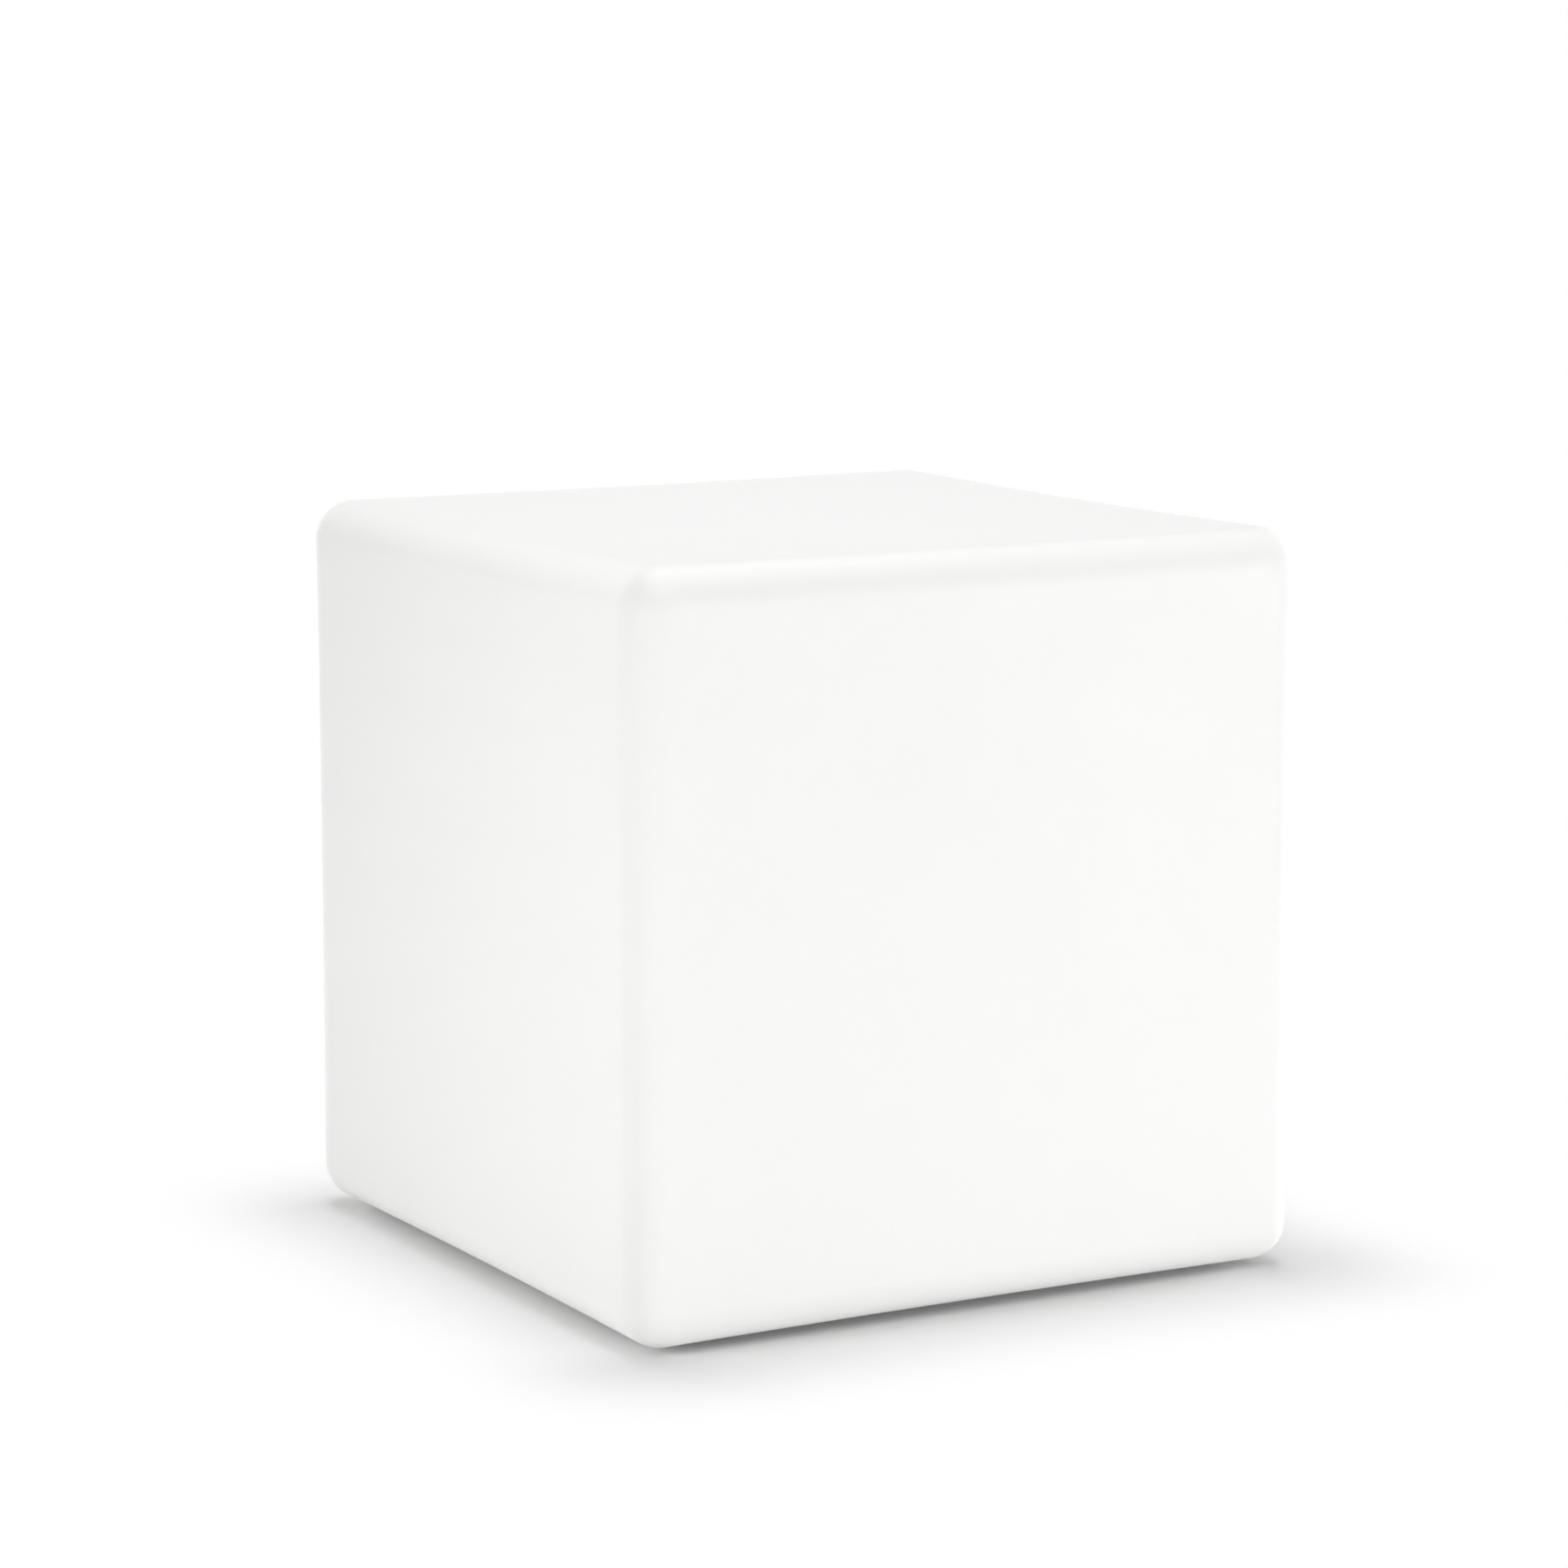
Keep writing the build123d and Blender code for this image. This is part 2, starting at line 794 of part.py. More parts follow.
def make_battery_cell(y):
    """Round cell along X with a raised contact inside its +X end."""
    body = Cylinder(cell_radius, cell_length)
    body = fillet(body.edges().filter_by(GeomType.CIRCLE), cell_edge_round)
    moat = disc(cell_radius - cell_rim, 0, cell_cap_height) - disc(cell_cap_radius, 0, cell_cap_height)
    body -= Pos(0, 0, cell_end - cell_cap_height) * moat
    return Pos(0, y, cell_centre) * Rot(0, 90, 0) * body


def strip_space(side, margin, thickness):
    """Flat box against the cells' ends. side is 1 at the +X end and -1 at the other."""
    length = (cell_count - 1) * cell_pitch + strip_width + 2 * margin
    low = cell_centre - strip_width / 2 - margin
    high = cell_centre + strip_width / 2 + margin
    return block(thickness, length, low, high, side * (cell_end + thickness / 2))


def make_nickel_strip(side):
    """Thin strip welded across the cells' ends."""
    return strip_space(side, 0, strip_thickness)


def make_battery_tray():
    """Cradle with a groove for each cell, end walls, and lugs for its screws."""
    tray = block(2 * tray_half_length, 2 * tray_half_width, tray_bottom, tray_top)
    tray += block(2 * tray_half_length, 2 * tray_half_width, tray_bottom, tray_bottom + tray_end_height)
    between_ends = block(
        2 * tray_end_inner, 2 * tray_half_width, tray_top, tray_bottom + tray_end_height
    )
    tray -= between_ends
    for y in cell_rows():
        groove = Cylinder(cell_radius + cell_seat_gap, 2 * tray_end_inner)
        tray -= Pos(0, y, cell_centre) * Rot(0, 90, 0) * groove
    for x, y in tray_post_places():
        tray += block(
            2 * tray_post_radius,
            2 * tray_post_radius,
            tray_bottom,
            tray_bottom + tray_ear_thickness,
            x,
            y,
        )
        ear_top = tray_bottom + tray_ear_thickness
        tray -= disc(small_shank + screw_hole_clearance, tray_bottom, ear_top, x, y)
    for x, y in clamp_screw_places():
        tray += block(tray_lug_width, 2 * tray_post_radius, tray_bottom, tray_top, x, y)
        tray -= disc(tiny_shank + thread_clearance, tray_bottom, tray_top, x, y)
    for side in (1, -1):
        tray -= block(
            2 * tray_side + hole_overrun,
            tray_notch_width,
            cell_centre - tray_notch_width / 2,
            tray_bottom + tray_end_height,
            side * tray_half_length,
            -side * battery_lead_side,
        )
        tray -= strip_space(side, tray_end_gap, tray_end_inner - cell_end)
    return tray


def make_battery_tray_screws():
    return screws_down(
        small_screw(tray_screw_length), tray_post_places(), tray_bottom + tray_ear_thickness
    )


def clamp_screw_places():
    return [(0.0, tray_post_y), (0.0, -tray_post_y)]


def make_battery_clamp():
    """Bridge over the cells, with a foot at each end for its screw."""
    bar_bottom = cell_centre + cell_radius + cell_seat_gap
    reach = tray_post_y + tray_post_radius
    leg_y = tray_half_width - clamp_thickness / 2
    clamp = block(clamp_width, 2 * tray_half_width, bar_bottom, bar_bottom + clamp_thickness)
    for side in (1, -1):
        clamp += block(
            clamp_width, clamp_thickness, tray_top, bar_bottom + clamp_thickness, 0, side * leg_y
        )
        clamp += block(
            tray_lug_width,
            reach - tray_half_width + clamp_thickness,
            tray_top,
            tray_top + clamp_thickness,
            0,
            side * (reach + tray_half_width - clamp_thickness) / 2,
        )
    for x, y in clamp_screw_places():
        clamp -= disc(tiny_shank + screw_hole_clearance, tray_top, tray_top + clamp_thickness, x, y)
    return clamp


def make_battery_clamp_screws():
    return screws_down(tiny_screw(clamp_screw_length), clamp_screw_places(), tray_top + clamp_thickness)


# Leads


def tube(points, radius, bend):
    """Round wire along straight runs joined by arcs."""
    path = FilletPolyline(*points, radius=bend)
    section = Plane(origin=path @ 0, z_dir=path % 0) * Circle(radius)
    return sweep(section, path=path)


def make_battery_lead(side):
    """Wire from the end strip, out through the tray's notch and down to the control board."""
    y = -side * battery_lead_side
    outer = side * (tray_half_length + battery_lead_reach)
    pad = side * (board_length / 2 - battery_lead_inset)
    turn = board_top + battery_lead_drop
    return tube(
        [
            (side * strip_outer, y, cell_centre),
            (outer, y, cell_centre),
            (outer, y, turn),
            (pad, y, turn),
            (pad, y, board_top),
        ],
        battery_lead_radius,
        battery_lead_bend,
    )


def led_header_x():
    """Middle of both connectors of the light's lead."""
    return led_lead_x + led_lead_reach + led_header_length / 2


def make_led_header():
    return block(
        led_header_length,
        led_header_width,
        board_top,
        board_top + led_header_height,
        led_header_x(),
        led_lead_side,
    )


def make_led_lead():
    """Round lead from the control board, up through the deck and over to the light board."""
    edge = led_header_x() - led_header_length / 2
    low = board_top + led_header_height / 2
    return tube(
        [
            (edge, led_lead_side, low),
            (led_lead_x, led_lead_side, low),
            (led_lead_x, led_lead_side, lead_turn),
            (edge, led_lead_side, lead_turn),
        ],
        led_lead_radius,
        led_lead_bend,
    )


def make_led_board_socket():
    return block(
        led_header_length,
        led_header_width,
        led_board_top,
        led_board_top + led_header_height,
        led_header_x(),
        led_lead_side,
    )


def make_lead_grommet():
    """Soft ring that grips the edge of the deck's hole."""
    x, y = led_lead_place()
    waist = disc(grommet_radius - grommet_groove, deck_bottom, deck_top, x, y)
    upper = disc(grommet_radius, deck_top, deck_top + grommet_lip, x, y)
    lower = disc(grommet_radius, deck_bottom - grommet_lip, deck_bottom, x, y)
    bore = disc(led_lead_radius, deck_bottom - grommet_lip, deck_top + grommet_lip, x, y)
    return waist + upper + lower - bore


# Light source


def led_screw_places():
    return circle_places(led_screw_circle, inner_screw_count, inner_screw_start)


def make_heat_spreader():
    plate = disc(spreader_radius, deck_top, spreader_top)
    for x, y in led_screw_places():
        plate -= disc(small_shank + screw_hole_clearance, deck_top, spreader_top, x, y)
    return plate


def make_led_board():
    board = disc(led_board_radius, spreader_top, led_board_top)
    for x, y in led_screw_places():
        board -= disc(small_shank + screw_hole_clearance, spreader_top, led_board_top, x, y)
    return board


def led_places():
    outer = circle_places(led_outer_circle, led_outer_count, led_outer_start)
    inner = circle_places(led_inner_circle, led_inner_count, led_inner_start)
    header_x, header_y = led_header_x(), led_lead_side
    clear = led_header_length / 2 + led_size
    return [
        (x, y) for x, y in outer + inner if abs(x - header_x) > clear or abs(y - header_y) > clear
    ]


def make_led_chips():
    top = led_board_top + led_height
    chips = []
    for x, y in led_places():
        chip = block(led_size, led_size, led_board_top, top, x, y)
        chips.append(chip - disc(led_window_radius, top - led_window_depth, top, x, y))
    return joined(chips)


def make_led_board_screws():
    return screws_down(small_screw(led_screw_length), led_screw_places(), led_board_top)


# Diffuser


def dome_screw_places():
    return circle_places(dome_screw_circle, inner_screw_count, inner_screw_start)


def make_dome_gasket():
    seal = ring(dome_radius - dome_wall, dome_flange_radius, deck_top, dome_flange_bottom)
    for x, y in dome_screw_places():
        seal -= disc(small_shank + screw_hole_clearance, deck_top, dome_flange_bottom, x, y)
    return seal


def dome_cap(radius, height, low):
    """Cap of a ball, with its given radius and height above a level."""
    ball_radius = (radius**2 + height**2) / (2 * height)
    ball = Pos(0, 0, low + height - ball_radius) * Sphere(ball_radius)
    return ball & disc(ball_radius, low, low + height)


def crowned_drum(radius, height, shoulder):
    """Round form on the dome's flange: a straight side, a rounded shoulder and a shallow crown."""
    crown_low = dome_flange_top + dome_side_height
    form = disc(radius, dome_flange_top, crown_low)
    form += dome_cap(radius, height - dome_side_height, crown_low)
    circles = form.edges().filter_by(GeomType.CIRCLE)
    rim = circles.filter_by(lambda edge: math.isclose(edge.radius, radius)).sort_by(Axis.Z)[-1]
    return fillet(rim, shoulder)


def make_diffuser_dome():
    """Thin frosted dome over the lights, on a flat flange."""
    dome = disc(dome_flange_radius, dome_flange_bottom, dome_flange_top)
    dome += crowned_drum(dome_radius, dome_height, dome_shoulder_round)
    dome -= crowned_drum(dome_radius - dome_wall, dome_height - dome_wall, dome_shoulder_round - dome_wall)
    dome -= disc(dome_radius - dome_wall, dome_flange_bottom, dome_flange_top)
    for x, y in dome_screw_places():
        dome -= disc(small_shank + screw_hole_clearance, dome_flange_bottom, dome_flange_top, x, y)
    return dome


def make_dome_screws():
    return screws_down(small_screw(dome_screw_length), dome_screw_places(), dome_flange_top)


def make_parts():
    """Every piece by its name."""
    parts = {
        "shell": make_shell(),
        "neck_inserts": make_neck_inserts(),
        "foot_inserts": make_foot_inserts(),
        "foot_screws": make_foot_screws(),
        "vent_plug": make_vent_plug(),
        "base_gasket": make_base_gasket(),
        "base_plate": make_base_plate(),
        "base_screws": make_base_screws(),
        "housing_seal": make_housing_seal(),
        "housing": make_housing(),
        "housing_screws": make_housing_screws(),
        "control_board": make_control_board(),
        "control_board_screws": make_control_board_screws(),
        "controller_chip": make_controller_chip(),
        "charge_inductor": make_charge_inductor(),
        "capacitors": make_capacitors(),
        "charge_socket": make_charge_socket(),
        "charge_socket_pin": make_charge_socket_pin(),
        "port_cover": make_port_cover(),
        "port_cover_seal": make_port_cover_seal(),
        "port_cover_pin": make_port_cover_pin(),
        "charge_light_pipe": make_charge_light_pipe(),
        "charge_light": make_charge_light(),
        "battery_tray": make_battery_tray(),
        "battery_tray_screws": make_battery_tray_screws(),
        "battery_clamp": make_battery_clamp(),
        "battery_clamp_screws": make_battery_clamp_screws(),
        "nickel_strip_positive": make_nickel_strip(1),
        "nickel_strip_negative": make_nickel_strip(-1),
        "battery_lead_positive": make_battery_lead(1),
        "battery_lead_negative": make_battery_lead(-1),
        "led_header": make_led_header(),
        "led_lead": make_led_lead(),
        "led_board_socket": make_led_board_socket(),
        "lead_grommet": make_lead_grommet(),
        "heat_spreader": make_heat_spreader(),
        "led_board": make_led_board(),
        "led_chips": make_led_chips(),
        "led_board_screws": make_led_board_screws(),
        "dome_gasket": make_dome_gasket(),
        "diffuser_dome": make_diffuser_dome(),
        "dome_screws": make_dome_screws(),
    }
    for name, (x, y) in foot_places().items():
        parts[f"foot_{name}"] = make_foot(x, y)
    for dots, (name, (x, y)) in enumerate(button_places().items(), start=1):
        parts[f"{name}_button"] = make_button(x, y, dots)
        parts[f"{name}_button_boot"] = make_button_boot(x, y)
        parts[f"{name}_switch"] = make_switch(x, y)
        parts[f"{name}_switch_stem"] = make_switch_stem(x, y)
    for k, y in enumerate(cell_rows(), start=1):
        parts[f"battery_cell_{k}"] = make_battery_cell(y)
    return parts


def main():
    os.makedirs("parts", exist_ok=True)
    for name, shape in make_parts().items():
        export_step(shape, f"parts/{name}.step")


if __name__ == "__main__":
    main()
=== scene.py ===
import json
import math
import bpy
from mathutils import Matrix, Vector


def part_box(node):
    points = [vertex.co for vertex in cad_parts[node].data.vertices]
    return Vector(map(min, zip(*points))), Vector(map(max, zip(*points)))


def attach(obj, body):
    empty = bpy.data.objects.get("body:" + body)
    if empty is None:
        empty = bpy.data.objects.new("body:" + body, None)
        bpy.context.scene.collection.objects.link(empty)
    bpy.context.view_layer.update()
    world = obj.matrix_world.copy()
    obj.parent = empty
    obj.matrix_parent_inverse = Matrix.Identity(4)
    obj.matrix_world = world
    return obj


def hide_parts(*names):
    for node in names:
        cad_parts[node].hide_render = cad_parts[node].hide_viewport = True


bl_info = {
    "name": "Cube Garden Lamp",
    "version": (1, 0, 0),
    "blender": (4, 5, 0),
    "location": "3D View > Sidebar > Cube Lamp",
    "description": "Dresses a packed cube floor lamp: its moulded shell, its finishes and a pale studio",
    "category": "Object",
}

import bmesh
import bpy
import numpy as np
from bpy.props import FloatProperty, FloatVectorProperty, PointerProperty
from mathutils import Matrix, Vector
from mathutils.geometry import delaunay_2d_cdt

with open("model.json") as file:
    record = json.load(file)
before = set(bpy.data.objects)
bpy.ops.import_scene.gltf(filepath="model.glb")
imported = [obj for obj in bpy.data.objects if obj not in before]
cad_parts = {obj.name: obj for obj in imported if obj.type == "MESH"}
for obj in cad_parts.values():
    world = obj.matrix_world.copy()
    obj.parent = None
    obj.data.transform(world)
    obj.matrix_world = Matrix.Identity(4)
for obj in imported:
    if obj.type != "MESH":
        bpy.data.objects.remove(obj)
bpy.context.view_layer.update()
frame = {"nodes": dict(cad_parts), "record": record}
SHELL_LOW, SHELL_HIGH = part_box("shell")
PLATE_LOW, PLATE_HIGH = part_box("base_plate")
COVER_LOW, COVER_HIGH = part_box("port_cover")
VENT_LOW, VENT_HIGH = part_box("vent_plug")
CORNERS = ("front_left", "front_right", "rear_left", "rear_right")
MM = 0.001
POCKET_GAP = 0.4 * MM
INSERT_RADIUS = 3.2 * MM
INSERT_LENGTH = 9 * MM
VENT_HEAD = 1.6 * MM
VENT_HOLE_RADIUS = 5 * MM
VENT_HOLE_DEPTH = 3.2 * MM
GUARD_HEIGHT = 1.4 * MM


# Colours and units


def srgb(code):
    """Linear red, green and blue of an sRGB hex colour."""
    values = np.array([int(code[k : k + 2], 16) / 255 for k in (0, 2, 4)])
    low = values / 12.92
    high = ((values + 0.055) / 1.055) ** 2.4
    return tuple(float(value) for value in np.where(values <= 0.04045, low, high))


def length(name, description, default):
    """A length that a user can change, in metres."""
    return FloatProperty(
        name=name, description=description, default=default, min=0.0, subtype="DISTANCE", unit="LENGTH"
    )


def colour(name, description, code):
    """A colour that a user can change."""
    return FloatVectorProperty(
        name=name, description=description, default=srgb(code), min=0.0, max=1.0, size=3, subtype="COLOR"
    )


def power(name, description, default):
    """Power of a lamp that a user can change, in watts."""
    return FloatProperty(name=name, description=description, default=default, min=0.0, unit="POWER")


def angle(name, description, degrees):
    """An angle that a user can change."""
    return FloatProperty(
        name=name, description=description, default=math.radians(degrees), subtype="ANGLE", unit="ROTATION"
    )


# Settings


class LampShellSettings(bpy.types.PropertyGroup):
    """Sizes of the moulded cube."""

    edge_round: length("Edge round", "Radius of the cube's rounded edges", 22 * MM)
    side_sink: length("Side sink", "How far the middle of a side sinks as the moulding cools", 1.0 * MM)
    top_sink: length("Top sink", "How far the middle of the top sinks", 2.4 * MM)
    under_sink: length("Under sink", "How far the middle of the underside sinks", 2.0 * MM)
    wall: length("Wall", "Thickness of the moulded wall", 4.5 * MM)
    ripple: length("Ripple", "Height of the slow waves that moulding leaves in the faces", 0.08 * MM)
    well_radius: length("Well radius", "Radius of the round well in the underside", 92 * MM)
    well_depth: length("Well depth", "From the shell's lowest point up to the well's ceiling", 20 * MM)
    neck_radius: length("Neck radius", "Radius of the opening in the well's ceiling", 66 * MM)
    pad_width: length("Pad width", "Width of the flat ring round the well", 8 * MM)
    well_round: length("Well mouth round", "Radius of the well's rounded mouth", 3 * MM)
    pocket_round: length("Pocket round", "Radius of the soft mouths of the foot pockets", 0.8 * MM)


class LampBaseSettings(bpy.types.PropertyGroup):
    """Sizes of the feet and of the marks on the base plate."""

    foot_groove: length("Foot groove", "Depth of the grip grooves under a foot", 0.6 * MM)
    foot_rounding: length("Foot rounding", "Radius of a foot's lower edge", 1.5 * MM)
    mark_height: length("Mark height", "How far the marks stand out of the base plate", 0.25 * MM)
    mark_width: length("Mark width", "Width of a mark's lines", 0.7 * MM)
    mark_size: length("Mark size", "Radius of a mark", 3.2 * MM)


class LampFinishSettings(bpy.types.PropertyGroup):
    """Colours of the pieces that show."""

    shell: colour("Shell", "Milky polyethylene of the cube", "EFEFEE")
    feet: colour("Feet", "Rubber of the feet", "57575A")
    base: colour("Base", "Plastic of the base unit", "E4E4E1")
    buttons: colour("Buttons", "Plastic of the push buttons", "7C7F82")
    silicone: colour("Silicone", "Seals and boots", "DEDDD9")


class LampStageSettings(bpy.types.PropertyGroup):
    """The studio round the lamp and the camera in it."""

    floor: colour("Floor", "Paper that the lamp stands on", "FCFCFC")
    floor_size: length("Floor size", "Width of the paper", 14.0)
    top_light: power("Top light", "Wide soft box over the lamp, a little behind it", 24.4)
    centre_light: power("Centre light", "Small soft box straight over the lamp", 8.0)
    front_light: power("Front light", "Low soft light in front, on the right", 52.0)
    near_light: power("Near light", "Small soft light square to the left face", 5.7)
    high_light: power("High light", "Soft box high in front, for the rims of the top", 7.6)
    right_light: power("Right light", "Low soft light on the right", 26.0)
    rear_light: power("Rear light", "Low soft light behind, a little to the left", 52.0)
    sky: FloatProperty(name="Sky", description="Strength of the light from all round", default=0.05, min=0.0)
    camera_turn: angle("Camera turn", "Direction that the camera stands in, from the front", -29.48)
    camera_yaw: angle("Camera yaw", "How far the camera looks past the lamp's axis", 0.11)
    camera_pitch: angle("Camera pitch", "How far the camera looks down", 9.14)
    camera_distance: length("Camera distance", "From the lamp's axis, along the floor", 2.596)
    camera_height: length("Camera height", "Over the floor", 0.6686)
    camera_lens: FloatProperty(
        name="Lens", description="Focal length in millimetres", default=110.84, min=1.0
    )


# Mesh helpers


def new_piece(name, bm, body, slot):
    """Finished mesh object from a bmesh, with smooth faces and its finish, riding on a body."""
    mesh = bpy.data.meshes.new(name)
    bm.to_mesh(mesh)
    bm.free()
    mesh.polygons.foreach_set("use_smooth", np.ones(len(mesh.polygons), dtype=bool))
    mesh.materials.append(finish_of(slot))
    piece = bpy.data.objects.new(name, mesh)
    bpy.context.scene.collection.objects.link(piece)
    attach(piece, body)
    return piece


def add_faces(bm, points, faces):
    """Add points and the faces between them to a bmesh, with whole arrays."""
    patch = bpy.data.meshes.new("patch")
    patch.from_pydata(points.reshape(-1, 3).tolist(), [], faces.tolist())
    bm.from_mesh(patch)
    bpy.data.meshes.remove(patch)


def close_seams(bm, gap):
    """Merge points that lie together and turn all faces outwards."""
    bmesh.ops.remove_doubles(bm, verts=bm.verts, dist=gap)
    bmesh.ops.recalc_face_normals(bm, faces=bm.faces)


def grid_faces(rows, columns, closed=False):
    """Quads of a grid of points. A closed grid joins its last column to its first."""
    index = np.arange(rows * columns).reshape(rows, columns)
    right = np.roll(index, -1, axis=1)
    if not closed:
        index = index[:, :-1]
        right = right[:, :-1]
    return np.stack([index[:-1], right[:-1], right[1:], index[1:]], axis=-1).reshape(-1, 4)


def circle(centre, radius, count):
    """Points round an upright axis, as an array of x and y."""
    turn = np.arange(count) * (2 * math.pi / count)
    return np.stack([centre[0] + radius * np.cos(turn), centre[1] + radius * np.sin(turn)], axis=-1)


def add_lathe(bm, centre, profile, count):
    """Surface of revolution about an upright axis.

    Each step of the profile is a radius and a height, and is carried round a full circle. A height may be an
    array with one value for each point of the circle, so that a ring can lie on a surface that isn't level.
    """
    rings = [circle(centre, radius, count) for radius, _ in profile]
    levels = [np.broadcast_to(height, count) for _, height in profile]
    points = np.concatenate([np.stack(rings), np.stack(levels)[..., None]], axis=-1)
    add_faces(bm, points, grid_faces(len(profile), count, closed=True))


def quarter(start, end, hollow, steps=5):
    """Quarter ellipse of a profile from a start to an end, both a radius and a height.

    The radius follows one minus the cosine of the turn and the height its sine, or the other way round for
    a hollow one, so that the arc leaves the start along the height or along the radius.
    """
    turn = np.linspace(0, math.pi / 2, steps + 1)
    rise, run = np.sin(turn), 1 - np.cos(turn)
    if hollow:
        rise, run = run, rise
    across, high = end[0] - start[0], end[1] - start[1]
    return [(start[0] + across * out, start[1] + high * up) for out, up in zip(run, rise)]


# Moulded shell


class ShellForm:
    """The cube's outer surface as functions of position, in metres."""

    arc_cells = 12
    flat_cells = 44
    pocket_steps = 64
    well_steps = 144
    collar = 3 * MM
    top_sag_along = 0.35
    pad_rise = 0.65 * MM
    pad_round = 0.3 * MM
    well_corner = 2 * MM
    neck_round = 0.5 * MM
    seat_round = 0.4 * MM
    bore_round = 0.2 * MM

    def __init__(self, sizes):
        self.sizes = sizes
        reach = (SHELL_HIGH.x - SHELL_LOW.x) / 2
        left_at_corner = 1 - (1 - sizes.edge_round / reach) ** 2
        low = SHELL_LOW.z - sizes.under_sink * left_at_corner
        high = SHELL_HIGH.z + sizes.top_sink * left_at_corner
        width = reach + sizes.side_sink * left_at_corner
        depth = (SHELL_HIGH.y - SHELL_LOW.y) / 2 + sizes.side_sink * left_at_corner
        self.low = low
        self.middle = np.array([0, 0, (high + low) / 2])
        self.half = np.array([width, depth, (high - low) / 2]) - 0.01 * MM
        self.core = self.half - sizes.edge_round

    def steps(self, core):
        """Places across a face: where the rounding's centre is, and the slope of the way out from it.

        The slope is the tangent of an angle that grows from 0 at the flat to 45 degrees at the edge.
        """
        slope = np.tan(np.linspace(0, math.pi / 4, self.arc_cells + 1)[1:])
        flat = np.linspace(-core, core, self.flat_cells + 1)
        place = np.concatenate([np.full(self.arc_cells, -core), flat, np.full(self.arc_cells, core)])
        lean = np.concatenate([-slope[::-1], np.zeros(self.flat_cells + 1), slope])
        return place, lean

    def face(self, axis, side):
        """Grid of points of one face, each the rounding's radius from its centre along its leaning way."""
        across, along = [k for k in range(3) if k != axis]
        across_place, across_lean = self.steps(self.core[across])
        along_place, along_lean = self.steps(self.core[along])
        shape = (len(along_place), len(across_place), 3)
        centre, lean = np.empty(shape), np.empty(shape)
        centre[..., across], lean[..., across] = across_place, across_lean
        centre[..., along], lean[..., along] = along_place[:, None], along_lean[:, None]
        centre[..., axis], lean[..., axis] = side * self.core[axis], side
        lean /= np.linalg.norm(lean, axis=-1, keepdims=True)
        return self.cooled(centre + self.sizes.edge_round * lean)

    def cooled(self, points):
        """Points drawn in as a moulding shrinks: most at the middle of a face and not at all at its corners.

        A side sinks by its sink times one minus half the sum of the squared shares of the way to its edges,
        and slow waves, the product of two sines, are added. The waves fade out near the underside.
        """
        sizes = self.sizes
        x, y, z = np.moveaxis(np.clip(points / self.half, -1, 1), -1, 0)
        fade = np.clip((z + 1) * 3, 0, 1)
        wave_x = sizes.ripple * fade * (1 + np.sin(5.1 * y + 0.7) * np.sin(6.3 * z + 1.9)) / 2
        wave_y = sizes.ripple * fade * (1 + np.sin(4.6 * x + 2.2) * np.sin(5.7 * z + 0.4)) / 2
        wave_z = sizes.ripple * fade * (1 + np.sin(5.4 * x + 1.1) * np.sin(4.9 * y + 2.6)) / 2
        in_x = sizes.side_sink * (1 - (y**2 + z**2) / 2) + wave_x
        in_y = sizes.side_sink * (1 - (x**2 + z**2) / 2) + wave_y
        along, across = self.top_sag_along * x**2, (1 - self.top_sag_along) * y**2
        in_top = sizes.top_sink * (1 - along - across) + wave_z
        in_under = sizes.under_sink * (1 - (x**2 + y**2) / 2)
        drawn = points.copy()
        drawn[..., 0] -= x * in_x
        drawn[..., 1] -= y * in_y
        drawn[..., 2] -= np.maximum(z, 0) * in_top - np.maximum(-z, 0) * in_under
        return drawn + self.middle

    def under_level(self, spots):
        """Height of the sunk underside over an array of x and y."""
        share = (spots / self.half[:2]) ** 2
        return self.low + self.sizes.under_sink * (1 - share.sum(axis=-1) / 2)


def foot_pockets():
    """Pockets for the feet and the vent plug: centre, radius, seat level, bore radius and bore top."""
    places = []
    for corner in CORNERS:
        low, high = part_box("foot_" + corner)
        radius = (high.x - low.x) / 2 + POCKET_GAP
        places.append(((low + high) / 2, radius, high.z, INSERT_RADIUS, high.z + INSERT_LENGTH))
    radius = (VENT_HIGH.x - VENT_LOW.x) / 2 + POCKET_GAP
    seat = VENT_LOW.z + VENT_HEAD
    places.append(((VENT_LOW + VENT_HIGH) / 2, radius, seat, VENT_HOLE_RADIUS, seat + VENT_HOLE_DEPTH))
    return places


